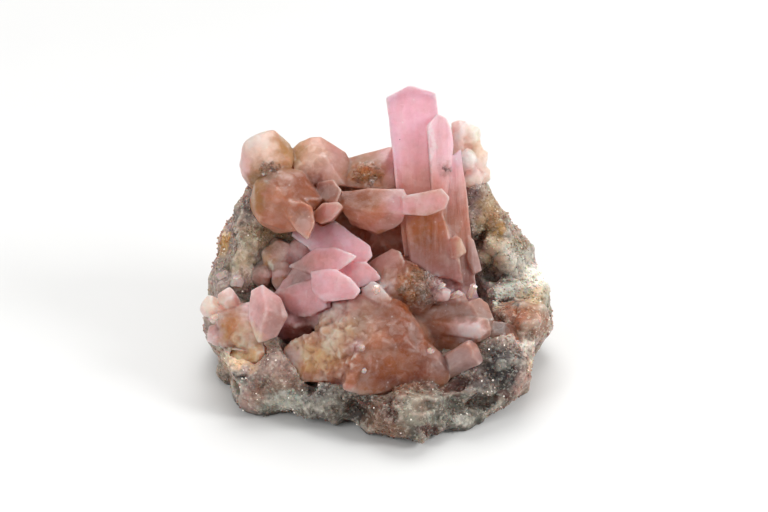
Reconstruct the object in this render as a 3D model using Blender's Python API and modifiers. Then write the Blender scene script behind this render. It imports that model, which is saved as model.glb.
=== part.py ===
"""A pink calcite specimen: prismatic crystals in six groups on one lump of drusy host rock.

The origin is at the middle of the rock's flat underside, +Z is up and the specimen shows its
best side towards -Y. A crystal is a tapered six-sided prism that ends in three rhomb faces, or
a broad crystal given by the corners of the faces that it shows.
"""

import math
import random

import bmesh
import bpy
from mathutils import Euler, Matrix, Vector, noise

MM = 0.001
ROUGH_SEED = Vector((3.7, 1.9, 8.2))

# The show side faces up by this angle. Places on it are (across, up, out), in millimetres:
# across runs to the right, up runs up the show side, and out stands out of it.
SHOW_ANGLE = math.radians(35)
SEAM = 0.32  # gap left between neighbouring pieces
NARROW_FOOT = 0.85  # usual width of a crystal's foot, as a share of its width at the shoulder
FACES_OF_TIP = 3
ONE_FACE = math.radians(1.5)  # faces that meet at less than this are one face
WORKPIECE = 0.06  # size of the block that a broad crystal is cut from, in metres
CORNER_REACH = 1.2  # how much further a hexagon's corners move than its flats when it grows
GOLDEN_TURN = math.pi * (3 - math.sqrt(5))

# Host rock
ROCK_VOXEL = 1.2
ROCK_TRIANGLES = 2300
ROCK_SWELL = 1.5
ROCK_SWELL_SIZE = 7.0
ROCK_GRAIN = 1.2
ROCK_GRAIN_SIZE = 3.6
GRAIN_MIDDLE = 0.4  # the turbulence's usual value, so that the grain adds no thickness

# Lumps that make up the rock: centre (x, y, z) and radii, in millimetres.
ROCK_LUMPS = (
    ((0, 1, 6), (33, 23, 8)),
    ((-3, 5, 12), (21, 15, 8.5)),
    ((5.5, -18, 4.5), (11, 12.8, 8.5)),
    ((-7, -13, 5), (13, 10.5, 9)),
    ((-22, -10, 5), (11.5, 10.5, 9.5)),
    ((-30.5, -2, 8), (6, 8.5, 10)),
    ((18, -14.5, 4.5), (10.5, 9.2, 9)),
    ((26, -10, 6), (8, 8, 9.5)),
    ((32, -1.5, 10.5), (6.2, 5, 7.5)),
    ((31.5, 8, 9), (7.5, 7.5, 9.5)),
    ((27, 16, 14), (7.5, 8, 15)),
    ((20.5, 20.5, 17), (8, 6.5, 21.5)),
    ((8, 22, 15), (11, 6.5, 17.5)),
    ((-5, 23, 17), (12, 6, 20)),
    ((-18, 20, 19), (11, 7.5, 20)),
    ((-28, 13, 17), (7.5, 9, 18)),
    ((-33.5, 5, 11), (4.6, 8, 10)),
    ((-26.5, 15.0, 31.0), (5.5, 6.0, 6.0)),
)

# Blocks that give it ledges and corners: centre, size (x, y, z) in millimetres, turn in degrees.
ROCK_BLOCKS = (
    ((30.0, 7.5, 9.0), (13, 12, 16.5), (0, 3, 10)),
    ((30.5, -2.5, 10.0), (11.5, 8, 12.5), (6, -6, -14)),
    ((26.0, -10.5, 6.5), (13, 12, 14), (10, 14, 32)),
    ((-28.0, -8.0, 6.5), (12, 13, 14), (12, -8, 24)),
    ((-4.0, -17.0, 5.0), (17, 13, 12.5), (14, 6, -22)),
    ((-31.0, 9.0, 12.0), (8, 12, 18), (0, -4, 14)),
    ((24.0, 19.0, 15.0), (9, 9, 28), (4, -6, 20)),
    ((-14.0, 24.0, 15.0), (16, 8, 26), (-4, 0, 8)),
    ((12.0, 25.0, 11.0), (15, 7, 20), (5, 0, -16)),
)

# Hollows worn into the rock: centre and radii.
ROCK_PITS = (
    ((-30, -13, 5), (3.0, 4.5, 2.4)),
    ((21, -25, 5.0), (3.6, 3.6, 2.2)),
    ((25, 7, 22), (3.2, 6.5, 7)),
    ((28, 1.6, 18.5), (7.0, 1.3, 3.0)),
    ((-17.5, -8, 14), (3.4, 4.5, 3.5)),
    ((37, -7.5, 6.0), (6.0, 3.6, 3.6)),
    ((-1, -24, 11), (3.6, 4.5, 3.0)),
)


def place(across, up, out):
    """World position, in metres, of a place on the show side, given in millimetres."""
    sin, cos = math.sin(SHOW_ANGLE), math.cos(SHOW_ANGLE)
    return Vector((across, up * sin - out * cos, up * cos + out * sin)) * MM


def clear_scene():
    for thing in list(bpy.data.objects):
        bpy.data.objects.remove(thing, do_unlink=True)
    for group in list(bpy.data.collections):
        bpy.data.collections.remove(group)


def new_collection(name):
    group = bpy.data.collections.new(name)
    bpy.context.scene.collection.children.link(group)
    return group


def mesh_from(shape, name):
    mesh = bpy.data.meshes.new(name)
    shape.to_mesh(mesh)
    shape.free()
    return mesh


def direction(heading, tilt):
    """Unit vector that leans from +Z by tilt, towards heading, both in radians."""
    level = math.sin(tilt)
    return Vector((level * math.cos(heading), level * math.sin(heading), math.cos(tilt)))


def standing(foot, peak, turn):
    """Matrix that stands a thing built on the origin along +Z on foot, looking towards peak."""
    axis = (peak - foot).normalized()
    outward = place(0, 0, 1) - axis * place(0, 0, 1).dot(axis)
    side = outward.cross(axis).normalized()
    frame = Matrix((side, axis.cross(side), axis)).transposed()
    frame = frame @ Matrix.Rotation(math.radians(turn), 3, "Z")
    return Matrix.Translation(foot) @ frame.to_4x4()


def crystal_mesh(
    root, tip, wide, thick, slope=30, turn=0, spin=0, shift=(0, 0), foot=NARROW_FOOT, grow=0.0
):
    """A prism from root to tip, capped by three faces whose normals stand at slope to its axis.

    turn rolls the prism about its axis; at 0 a flat side looks out of the show side. spin rolls
    the three end faces, and shift moves their peak off the axis, as shares of the half widths.
    foot is the width at the root, as a share of the width at the shoulder.
    """
    start, peak = place(*root), place(*tip)
    length = (peak - start).length
    extra = grow * MM
    half_wide, half_thick = wide / 2 * MM, thick / 2 * MM
    tall = length + wide * MM + 2 * extra

    shape = bmesh.new()
    bmesh.ops.create_cone(shape, cap_ends=True, segments=6, radius1=foot, radius2=1, depth=tall)
    girth = (half_wide + CORNER_REACH * extra, half_thick + CORNER_REACH * extra, 1)
    bmesh.ops.scale(shape, vec=girth, verts=shape.verts)
    bmesh.ops.translate(shape, vec=(0, 0, tall / 2 - extra), verts=shape.verts)
    summit = Vector((shift[0] * half_wide, shift[1] * half_thick, length))
    for n in range(FACES_OF_TIP):
        normal = direction(math.radians(spin) + math.tau / FACES_OF_TIP * n, math.radians(slope))
        slice_off(shape, summit + normal * extra, normal)
    bmesh.ops.transform(shape, matrix=standing(start, peak, turn), verts=shape.verts)
    return mesh_from(shape, "crystal")


def slice_off(shape, point, normal):
    """Cuts away what lies beyond a plane and closes the cut with one flat face."""
    everything = shape.verts[:] + shape.edges[:] + shape.faces[:]
    cut = bmesh.ops.bisect_plane(
        shape, geom=everything, plane_co=point, plane_no=normal, clear_outer=True, dist=1e-7
    )
    rim = [piece for piece in cut["geom_cut"] if isinstance(piece, bmesh.types.BMEdge)]
    if rim:
        bmesh.ops.edgeloop_fill(shape, edges=rim)
    bmesh.ops.recalc_face_normals(shape, faces=shape.faces[:])


def lump_mesh(middle, radii, cuts=18, flat=0.79, seed=1, detail=2, grow=0.0):
    """A stubby mass of crystal: a ball stretched to its radii and cut to flat faces all round.

    flat is the share of the radius at which the deepest face lies.
    """
    dice = random.Random(seed)
    shape = bmesh.new()
    bmesh.ops.create_icosphere(shape, subdivisions=detail, radius=1)
    for n in range(cuts):
        tilt = math.acos(1 - (2 * n + 1) / cuts)
        normal = direction(GOLDEN_TURN * n + dice.uniform(-0.5, 0.5), tilt)
        slice_off(shape, normal * dice.uniform(flat, flat + 0.1), normal)
    for vert in shape.verts:
        spot = [mid + share * (radius + grow) for mid, share, radius in zip(middle, vert.co, radii)]
        vert.co = place(*spot)
    bmesh.ops.recalc_face_normals(shape, faces=shape.faces[:])
    return mesh_from(shape, "lump")


def hull_mesh(points):
    """The body that just encloses some points, with flat faces."""
    shape = bmesh.new()
    for point in points:
        shape.verts.new(point)
    found = bmesh.ops.convex_hull(shape, input=shape.verts[:])
    loose = set(found["geom_interior"] + found["geom_unused"])
    spare = [piece for piece in loose if isinstance(piece, bmesh.types.BMVert)]
    bmesh.ops.delete(shape, geom=spare, context="VERTS")
    bmesh.ops.dissolve_limit(shape, angle_limit=ONE_FACE, verts=shape.verts[:], edges=shape.edges[:])
    bmesh.ops.recalc_face_normals(shape, faces=shape.faces[:])
    return shape


def broad_mesh(corners, depth=8, narrows=0.9, grow=0.0):
    """A broad crystal: its shown faces have the given corners, and it runs back from them.

    depth is how far back it runs, and narrows is the size of its back as a share of its front.
    """
    middle = sum((Vector(corner) for corner in corners), Vector()) / len(corners)
    points = []
    for corner in corners:
        away = Vector(corner) - middle
        points.append(place(*corner))
        points.append(place(*(middle + away * narrows - Vector((0, 0, depth)))))
    shape = hull_mesh(points)
    if grow:
        planes = [(face.calc_center_median(), face.normal.copy()) for face in shape.faces]
        shape.free()
        shape = bmesh.new()
        bmesh.ops.create_cube(shape, size=WORKPIECE, matrix=Matrix.Translation(place(*middle)))
        for centre, normal in planes:
            slice_off(shape, centre + normal * grow * MM, normal)
    return mesh_from(shape, "broad_crystal")


def crystal(*args, **settings):
    return crystal_mesh, args, settings


def broad(*args, **settings):
    return broad_mesh, args, settings


def lump(*args, **settings):
    return lump_mesh, args, settings


# Each group lists its masses and crystals. A crystal is root, tip, width and thickness, and a
# broad crystal is the corners of its front, its depth and how far it narrows.
GROUPS = {
    "tall_spires": (
        lump((14.0, 14, 5), (8.5, 10, 8.0), seed=3),
        broad(
            ((2.0, 57.2, 18.0), (5.1, 58.8, 18.0), (6.9, 59.8, 18.0), (12.4, 58.2, 17.5),
             (13.0, 53.8, 17.5), (13.4, 44.0, 17.0), (12.8, 32.4, 15.5), (12.4, 22.5, 13.5),
             (5.8, 23.3, 14.5), (4.8, 32.4, 16.0), (3.7, 42.9, 17.5), (2.7, 50.3, 18.0)),
            8,
        ),
        broad(
            ((10.6, 50.9, 20.4), (12.7, 53.5, 20.0), (14.6, 52.7, 19.4), (15.7, 50.4, 19.0),
             (16.1, 46.9, 18.6), (15.1, 42.4, 18.6), (14.2, 37.6, 18.4), (14.1, 29.2, 16.6),
             (12.1, 29.1, 17.0), (11.2, 43.8, 19.8)),
            8,
        ),
        broad(
            ((14.0, 42.7, 17.4), (16.4, 45.1, 16.8), (17.7, 46.3, 16.0), (18.8, 38.8, 15.6),
             (19.9, 28.2, 15.0), (20.5, 21.6, 14.4), (21.2, 15.0, 14.0), (17.1, 14.3, 15.4),
             (13.2, 16.8, 16.0), (12.8, 29.2, 16.8)),
            9,
        ),
        broad(
            ((6.0, 32.2, 16.4), (13.8, 32.5, 17.8), (14.9, 27.0, 18.2), (17.6, 22.3, 17.8),
             (18.1, 17.7, 17.2), (14.4, 18.9, 18.4), (11.0, 19.7, 18.4), (7.0, 22.1, 17.0),
             (6.4, 27.1, 16.4)),
            9,
        ),
        broad(
            ((16.3, 27.8, 18.0), (17.8, 27.0, 18.2), (18.9, 24.2, 18.0), (17.6, 23.3, 18.8),
             (15.7, 22.9, 19.0), (15.3, 25.7, 18.6)),
            5,
        ),
        broad(
            ((19.4, 27.5, 15.4), (20.5, 27.1, 15.0), (21.4, 23.7, 14.6), (22.2, 20.5, 14.6),
             (20.5, 19.6, 15.6), (19.2, 22.8, 15.8)),
            7,
        ),
    ),
    "pale_crystals": (
        lump((20.8, 44.0, 6.6), (3.4, 5.8, 3.2), cuts=14, seed=31, detail=1),
        crystal((18.0, 39, 2), (17.8, 53.2, 10.4), 4.0, 3.6, slope=40, turn=10, spin=30),
        crystal((20.2, 38, 1), (20.2, 52.4, 9.4), 4.4, 4.0, slope=36, turn=25, spin=70),
        crystal((21.6, 38, 0), (22.2, 47.0, 8.4), 4.4, 4.2, slope=38, turn=0, spin=10),
        crystal((19.4, 40, 2), (19.4, 46.2, 11.8), 4.4, 4.0, slope=48, turn=40, spin=50),
        crystal((20.2, 42, 0), (20.8, 40.4, 9.8), 5.4, 4.6, slope=30, turn=15, spin=90),
        crystal((22.0, 42, 0), (23.2, 41.8, 8.4), 4.4, 4.0, slope=34, turn=35, spin=40),
    ),
    "back_left_crystals": (
        lump((-23.9, 44.0, 11.5), (6.9, 8.0, 6.8), cuts=13, flat=0.8, seed=5, detail=1),
        lump((-19.8, 35.5, 13.6), (8.8, 8.0, 8.8), cuts=13, flat=0.8, seed=8, detail=1),
        lump((-14.5, 40.5, 7), (9, 7, 7), seed=2),
        lump((-1.4, 39.0, 3), (10.0, 6.6, 7), seed=9, detail=1),
        lump((1.5, 28, 3.5), (9.5, 8.5, 6), seed=4, detail=1),
        lump((-9, 33, 3), (10, 8, 7.5), seed=6, detail=1),
        broad(
            ((-18.8, 46.6, 9.5), (-16.8, 48.5, 10.0), (-14.4, 49.4, 10.5), (-12.3, 49.5, 10.5),
             (-6.9, 46.2, 9.5), (-5.8, 43.8, 10.0), (-7.1, 38.8, 13.5), (-12.8, 38.6, 15.5),
             (-17.5, 42.1, 14.5), (-14.1, 46.0, 14.2), (-10.7, 44.3, 14.6)),
            12,
        ),
        broad(
            ((-7.2, 44.9, 7.5), (-4.3, 45.7, 8.5), (3.0, 47.4, 9.0), (4.7, 43.4, 12.0),
             (4.7, 38.3, 14.0), (-1.3, 37.8, 15.0), (-7.5, 38.8, 13.0), (-3.9, 42.7, 13.2),
             (1.3, 43.3, 13.6)),
            11,
        ),
        # the upright crystal on the dome, and the two that stick out beside it
        broad(
            ((-19.8, 34.5, 22.0), (-16.2, 35.1, 22.6), (-13.8, 33.4, 24.0), (-13.3, 29.9, 24.8),
             (-14.7, 26.7, 24.4), (-17.0, 28.6, 23.2), (-19.4, 31.6, 22.4)),
            9,
        ),
        broad(
            ((-12.8, 39.2, 16.0), (-9.3, 39.6, 18.0), (-7.6, 37.2, 20.0), (-8.7, 34.7, 19.6),
             (-11.0, 35.0, 18.0), (-12.8, 37.3, 16.5)),
            8,
        ),
        broad(
            ((-14.4, 31.8, 18.5), (-11.6, 34.4, 20.5), (-8.4, 34.6, 22.5), (-7.4, 33.6, 22.8),
             (-9.5, 31.0, 22.0), (-12.0, 30.2, 20.5)),
            13,
        ),
        # the two long crystals that lie across towards the spires
        broad(
            ((-8.6, 37.2, 14.5), (-1.7, 37.8, 17.0), (5.5, 37.5, 19.0), (6.6, 35.3, 20.0),
             (5.5, 32.5, 21.0), (-1.3, 32.8, 20.2), (-8.1, 34.2, 17.5), (5.3, 30.9, 18.8),
             (3.6, 29.6, 16.8), (0.0, 28.2, 14.8), (-6.0, 30.9, 13.5)),
            9, 0.85,
        ),
        broad(
            ((5.1, 35.9, 20.6), (9.9, 36.7, 22.4), (13.6, 37.3, 23.6), (15.1, 35.4, 24.2),
             (14.3, 33.1, 24.0), (10.3, 31.7, 23.0), (5.3, 32.1, 21.4)),
            5, 0.8,
        ),
    ),
    "pink_blades": (
        lump((-15.0, 17.4, 6.5), (6.6, 7.4, 6.8), seed=7, detail=1),
        broad(
            ((-16.8, 33.4, 10.0), (-9.2, 31.0, 14.5), (-1.5, 25.4, 19.0), (-1.1, 23.3, 19.2),
             (-2.8, 21.6, 19.6), (-10.2, 21.9, 18.0), (-18.5, 28.2, 11.0)),
            8,
        ),
        broad(
            ((-18.9, 21.4, 13.5), (-13.2, 25.1, 17.0), (-9.3, 25.2, 20.0), (-4.4, 23.1, 23.5),
             (-7.8, 20.4, 22.5), (-13.1, 19.5, 19.0)),
            8,
        ),
        broad(
            ((-9.6, 21.2, 18.0), (-2.5, 22.0, 20.5), (-0.2, 20.1, 20.8), (0.6, 18.6, 20.2),
             (-3.0, 16.9, 20.8), (-5.9, 16.3, 19.5)),
            9,
        ),
        broad(
            ((-14.2, 20.1, 20.4), (-8.8, 20.4, 23.0), (-5.9, 18.4, 24.8), (-3.6, 15.9, 25.0),
             (-5.0, 14.2, 24.2), (-11.1, 13.7, 22.6), (-13.9, 16.0, 20.8)),
            12,
        ),
        broad(
            ((-22.5, 15.6, 14.0), (-17.0, 17.7, 17.2), (-13.1, 18.6, 19.4), (-12.2, 14.8, 21.2),
             (-10.6, 12.5, 20.6), (-14.2, 10.6, 18.4), (-17.5, 10.7, 16.0)),
            11,
        ),
        broad(
            ((-19.3, 19.3, 12.5), (-16.7, 22.2, 14.5), (-12.7, 20.6, 17.6), (-12.3, 16.6, 18.2),
             (-17.1, 16.0, 15.8), (-21.9, 15.9, 13.0)),
            9,
        ),
        broad(
            ((-17.0, 13.0, 16.2), (-10.2, 13.8, 19.4), (-9.3, 9.6, 18.0), (-12.4, 7.0, 16.0),
             (-14.7, 9.2, 15.2)),
            12,
        ),
        crystal((-19, 2, 6), (-17.2, 11.4, 15.4), 9.0, 6.0, slope=22, turn=4),
    ),
    "front_crystals": (
        lump((4.6, 3.8, 12.4), (8.8, 7.8, 9.8), cuts=15, seed=12, flat=0.86),
        lump((-5.4, 4.6, 13.2), (8.4, 7.4, 9.4), cuts=14, seed=16, flat=0.8, detail=1),
        lump((6.6, 17.2, 13.5), (8.6, 7.2, 7.5), seed=14),
        lump((17, 6.5, 12), (10.5, 7.5, 6), seed=15, detail=1),
        # the broad mass in the middle
        broad(
            ((-13.5, 7.4, 18.0), (-12.5, 12.1, 18.5), (-9.5, 14.4, 19.0), (-5.3, 14.7, 20.6),
             (-2.9, 10.3, 23.5), (-5.8, 5.6, 24.8), (-11.1, 4.8, 22.5)),
            14,
        ),
        broad(
            ((-20.6, -0.2, 16.6), (-19.9, 4.0, 17.6), (-16.0, 6.3, 20.0), (-10.1, 8.4, 23.0),
             (-5.3, 6.2, 25.4), (-5.0, 0.2, 25.6), (-9.0, -2.9, 23.8), (-15.6, -3.2, 20.2)),
            12,
        ),
        broad(
            ((-6.1, 14.7, 20.6), (-1.3, 15.4, 21.0), (3.8, 13.7, 21.0), (5.9, 8.8, 23.4),
             (3.3, 4.2, 25.4), (-3.1, 4.0, 26.2), (-6.4, 5.0, 25.0), (-6.6, 8.8, 24.0)),
            14,
        ),
        broad(
            ((-5.8, 4.8, 26.0), (3.1, 6.0, 25.8), (8.4, 4.4, 24.0), (12.8, -1.1, 21.4),
             (11.4, -3.6, 20.8), (5.7, -4.8, 22.6), (-1.3, -5.9, 23.8), (-5.8, -3.1, 25.4)),
            13,
        ),
        broad(
            ((2.5, 13.5, 19.6), (5.1, 13.9, 20.0), (8.4, 9.2, 21.6), (11.8, 3.2, 21.4),
             (13.1, -1.3, 19.8), (7.7, 1.0, 23.8), (3.8, 6.5, 24.8)),
            12,
        ),
        broad(
            ((-7.5, 1.0, 24.8), (-1.3, 0.2, 25.4), (5.0, -2.3, 23.2), (1.7, -6.3, 21.6),
             (-4.6, -6.5, 21.6), (-7.2, -7.6, 20.6), (-11.8, -4.8, 21.2)),
            10,
        ),
        broad(
            ((-3.0, 21.3, 16.0), (3.0, 25.0, 17.6), (4.7, 24.2, 18.2), (5.7, 22.0, 19.2),
             (4.6, 18.2, 20.4), (0.0, 15.9, 19.6)),
            10,
        ),
        broad(
            ((-3.8, 17.3, 20.0), (-2.1, 18.6, 20.6), (0.4, 17.1, 21.6), (3.0, 14.1, 22.2),
             (2.3, 12.7, 22.4), (0.4, 13.1, 22.6), (-3.0, 15.0, 21.6)),
            9,
        ),
        crystal((8, 8.5, 12), (24.6, 10.0, 19.0), 11.0, 8.0, slope=40, turn=12, spin=20),
        crystal((16, 7.5, 12), (30.5, 5.2, 15.0), 8.0, 7.0, slope=48, turn=-14, spin=60),
        crystal((10, 9.5, 14), (24.0, 7.6, 22.6), 5.4, 4.6, slope=48, turn=0, spin=60),
        crystal((5, -5, 16), (21.2, 3.4, 23.0), 6.2, 5.4, slope=20, turn=12, spin=0),
        crystal((10, 15, 15), (15.2, 15.4, 20.6), 3.6, 2.8, slope=46, turn=8),
        crystal((12, 13, 14), (19.0, 14.0, 19.0), 4.8, 3.6, slope=50, turn=-10, spin=30),
    ),
    "left_edge_crystals": (
        lump((-28.5, 8.0, 13), (7.6, 6.6, 6.2), seed=21, detail=1),
        broad(
            ((-26.9, 16.1, 18.5), (-24.4, 17.2, 19.3), (-20.5, 14.4, 21.0), (-19.0, 10.6, 21.0),
             (-21.3, 6.3, 20.6), (-25.2, 5.0, 20.0), (-27.3, 10.4, 19.6), (-23.3, 11.7, 24.2),
             (-24.4, 8.2, 23.6)),
            10, 0.85,
        ),
        crystal((-31, 11, 12), (-37.6, 13.4, 15.0), 5.4, 4.6, slope=35, turn=10),
        crystal((-30, 11, 11), (-32.8, 15.8, 17.0), 4.6, 4.0, slope=35, turn=30),
        crystal((-30, 7, 11), (-36.4, 6.6, 15.0), 5.2, 4.4, slope=38, turn=15),
        crystal((-28, 5, 12), (-30.4, -0.4, 17.4), 6.0, 5.0, slope=40, turn=0),
        crystal((-26, 5, 12), (-25.8, 1.0, 19.0), 5.4, 4.4, slope=40, turn=15),
    ),
}

COLOURS = {
    "matrix": ((0.33, 0.27, 0.25), 0.75),
    "tall_spires": ((0.85, 0.42, 0.50), 0.3),
    "pale_crystals": ((0.88, 0.62, 0.56), 0.35),
    "back_left_crystals": ((0.62, 0.30, 0.22), 0.35),
    "pink_blades": ((0.80, 0.40, 0.47), 0.3),
    "front_crystals": ((0.60, 0.28, 0.18), 0.35),
    "left_edge_crystals": ((0.75, 0.42, 0.35), 0.35),
}


def material_for(name):
    colour, roughness = COLOURS[name]
    finish = bpy.data.materials.new(name)
    finish.use_nodes = True
    shader = finish.node_tree.nodes["Principled BSDF"]
    shader.inputs["Base Color"].default_value = (*colour, 1)
    shader.inputs["Roughness"].default_value = roughness
    shader.inputs["Metallic"].default_value = 0
    return finish


def add_object(name, mesh, group):
    thing = bpy.data.objects.new(name, mesh)
    group.objects.link(thing)
    return thing


def with_modifier(mesh, kind, settings, workshop):
    """The mesh after one modifier of a kind, with its settings."""
    thing = add_object("worked", mesh, workshop)
    change = thing.modifiers.new("change", kind)
    for name, value in settings.items():
        setattr(change, name, value)
    graph = bpy.context.evaluated_depsgraph_get()
    result = bpy.data.meshes.new_from_object(thing.evaluated_get(graph))
    bpy.data.objects.remove(thing)
    return result


def boolean(mesh, others, operation, workshop):
    """The mesh joined to, or cut by, all the others at once, as a new mesh."""
    tools = bpy.data.collections.new("tools")
    for other in others:
        add_object("tool", other, tools)
    settings = {"operation": operation, "operand_type": "COLLECTION", "collection": tools}
    result = with_modifier(mesh, "BOOLEAN", settings, workshop)
    for tool in list(tools.objects):
        bpy.data.objects.remove(tool)
    bpy.data.collections.remove(tools)
    return result


def group_mesh(members, workshop, grow=0.0):
    """All the members of a group grown together into one body."""
    meshes = [make(*args, grow=grow, **settings) for make, args, settings in members]
    return boolean(meshes[0], meshes[1:], "UNION", workshop)


def largest_body(mesh):
    """Keeps the biggest connected piece of a mesh, so that a cut leaves no crumbs behind."""
    shape = bmesh.new()
    shape.from_mesh(mesh)
    unseen, bodies = set(shape.verts), []
    while unseen:
        body, edge_of_body = set(), [unseen.pop()]
        while edge_of_body:
            vert = edge_of_body.pop()
            body.add(vert)
            near = {edge.other_vert(vert) for edge in vert.link_edges} & unseen
            unseen -= near
            edge_of_body.extend(near)
        bodies.append(body)
    keep = max(bodies, key=len)
    bmesh.ops.delete(shape, geom=[v for v in shape.verts if v not in keep], context="VERTS")
    shape.to_mesh(mesh)
    shape.free()


def ellipsoid(centre, radii, detail=3):
    shape = bmesh.new()
    bmesh.ops.create_icosphere(shape, subdivisions=detail, radius=1)
    bmesh.ops.scale(shape, vec=Vector(radii) * MM, verts=shape.verts)
    bmesh.ops.translate(shape, vec=Vector(centre) * MM, verts=shape.verts)
    return mesh_from(shape, "ellipsoid")


def block(centre, size, turn):
    shape = bmesh.new()
    bmesh.ops.create_cube(shape, size=1)
    bmesh.ops.scale(shape, vec=Vector(size) * MM, verts=shape.verts)
    turned = Euler([math.radians(angle) for angle in turn]).to_matrix()
    bmesh.ops.rotate(shape, cent=(0, 0, 0), matrix=turned, verts=shape.verts)
    bmesh.ops.translate(shape, vec=Vector(centre) * MM, verts=shape.verts)
    return mesh_from(shape, "block")


def roughen(mesh):
    """Swells the rock's surface in broad lumps, with a finer grain on them."""
    shape = bmesh.new()
    shape.from_mesh(mesh)
    shape.normal_update()
    moves = []
    for vert in shape.verts:
        spot = vert.co / MM
        swell = noise.noise(spot / ROCK_SWELL_SIZE + ROUGH_SEED)
        grain = noise.turbulence(spot / ROCK_GRAIN_SIZE + ROUGH_SEED, 3, False) - GRAIN_MIDDLE
        moves.append(vert.normal * (ROCK_SWELL * swell + ROCK_GRAIN * grain) * MM)
    for vert, move in zip(shape.verts, moves):
        vert.co += move
    shape.to_mesh(mesh)
    shape.free()


def rock_mesh(workshop):
    """The host rock: lumps and blocks with pits, melted together, roughened and cut off flat."""
    lumps = [ellipsoid(centre, radii) for centre, radii in ROCK_LUMPS]
    lumps += [block(centre, size, turn) for centre, size, turn in ROCK_BLOCKS]
    pits = [ellipsoid(centre, radii) for centre, radii in ROCK_PITS]
    joined = boolean(lumps[0], lumps[1:], "UNION", workshop)
    hollowed = boolean(joined, pits, "DIFFERENCE", workshop)
    melted = with_modifier(hollowed, "REMESH", {"mode": "VOXEL", "voxel_size": ROCK_VOXEL * MM}, workshop)
    roughen(melted)
    thinning = {
        "ratio": ROCK_TRIANGLES / (2 * len(melted.polygons)),
        "use_collapse_triangulate": True,
    }
    thinned = with_modifier(melted, "DECIMATE", thinning, workshop)
    shape = bmesh.new()
    shape.from_mesh(thinned)
    slice_off(shape, Vector((0, 0, 0)), Vector((0, 0, -1)))
    bmesh.ops.triangulate(shape, faces=shape.faces[:])
    return mesh_from(shape, "rock")


def add_part(name, mesh, specimen):
    thing = add_object(name, mesh, specimen)
    thing.data.name = name
    thing.data.materials.clear()
    thing.data.materials.append(material_for(name))
    return thing


def centre_on_origin(things):
    """Moves all the meshes alike, so that the origin is under the middle of their common box."""
    points = [vert.co for thing in things for vert in thing.data.vertices]
    middle_x = (min(p.x for p in points) + max(p.x for p in points)) / 2
    middle_y = (min(p.y for p in points) + max(p.y for p in points)) / 2
    for thing in things:
        thing.data.transform(Matrix.Translation((-middle_x, -middle_y, 0)))


def main():
    clear_scene()
    specimen = new_collection("calcite_specimen")
    workshop = new_collection("workshop")
    sockets = []
    for name, members in GROUPS.items():
        body = group_mesh(members, workshop)
        if sockets:
            body = boolean(body, [socket.copy() for socket in sockets], "DIFFERENCE", workshop)
            largest_body(body)
        add_part(name, body, specimen)
        sockets.append(group_mesh(members, workshop, grow=SEAM))
    rock = rock_mesh(workshop)
    for socket in sockets:
        rock = boolean(rock, [socket], "DIFFERENCE", workshop)
    largest_body(rock)
    add_part("matrix", rock, specimen)
    centre_on_origin(specimen.objects)
    bpy.data.collections.remove(workshop)


main()
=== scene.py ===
"""Finishes the calcite specimen: drusy host rock, milky pink and amber crystals, small clear ones.

Lengths are in millimetres until they reach a mesh. The show side leans back by SHOW_ANGLE, and a
place on it is (across, up, out): to the right, up along the show side, and out of it.
"""

import itertools
import math
import random

import bmesh
import bpy
import numpy as np
from mathutils import Matrix, Vector, noise


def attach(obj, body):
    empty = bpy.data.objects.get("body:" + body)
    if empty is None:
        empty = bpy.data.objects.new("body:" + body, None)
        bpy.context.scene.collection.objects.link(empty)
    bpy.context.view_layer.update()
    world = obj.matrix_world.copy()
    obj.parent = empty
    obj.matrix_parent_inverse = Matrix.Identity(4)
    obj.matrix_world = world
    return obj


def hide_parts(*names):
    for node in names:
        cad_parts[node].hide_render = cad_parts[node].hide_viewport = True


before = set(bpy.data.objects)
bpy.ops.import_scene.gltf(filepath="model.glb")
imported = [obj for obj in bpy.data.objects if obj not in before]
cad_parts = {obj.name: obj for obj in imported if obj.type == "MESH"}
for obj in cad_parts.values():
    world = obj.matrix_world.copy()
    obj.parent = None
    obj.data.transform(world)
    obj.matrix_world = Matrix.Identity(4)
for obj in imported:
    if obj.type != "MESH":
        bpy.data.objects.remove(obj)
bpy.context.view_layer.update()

MM = 0.001
SHOW_ANGLE = math.radians(35)

# The rock's mesh, and the size and depth of what makes its relief
ROCK_VOXEL = 0.45
BLOCK_SIZE, BLOCK_DEPTH = 4.6, 1.0
CHIP_SIZE, CHIP_DEPTH = 1.9, 0.55
SWELL_SIZE, SWELL_DEPTH = 2.4, 0.2
GRIT_SIZE, GRIT_DEPTH = 1.0, 0.16
SMOOTH_SHARE = 0.2  # how much of the relief is left where the rock is worn smooth
DENT_STRAY, DENT_REACH = 3.4, 1.6  # the noise that makes the edges of dents ragged
ROCK_SHADING_REACH = 0.2  # a crest that stands out by this much gets the full painted highlight, and a hollow that lies back by this much the full painted shade
UNDERCUT_HEIGHT = 2.4  # how high above the floor the rock's foot starts to draw in
UNDERCUT_DEPTH = 1.6
UNDERCUT_CURVE = 1.5
UNDERCUT_FROM = 10  # how far from the rock's middle the foot draws in fully
BARE_FOOT = 0.6  # no druse grows below this height
SIDE_DRUSE = 0.25  # how dense druse is on faces at right angles to the show side
LEAST_DRUSE = 0.1

# The crystals' mesh and faces
CRYSTAL_VOXEL = 0.26
CLOSE_SEAM = 0.12  # how far crystals grow outwards, to close the seams between the solids
SWELL = 0.12  # how far their faces swell and sink
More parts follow.
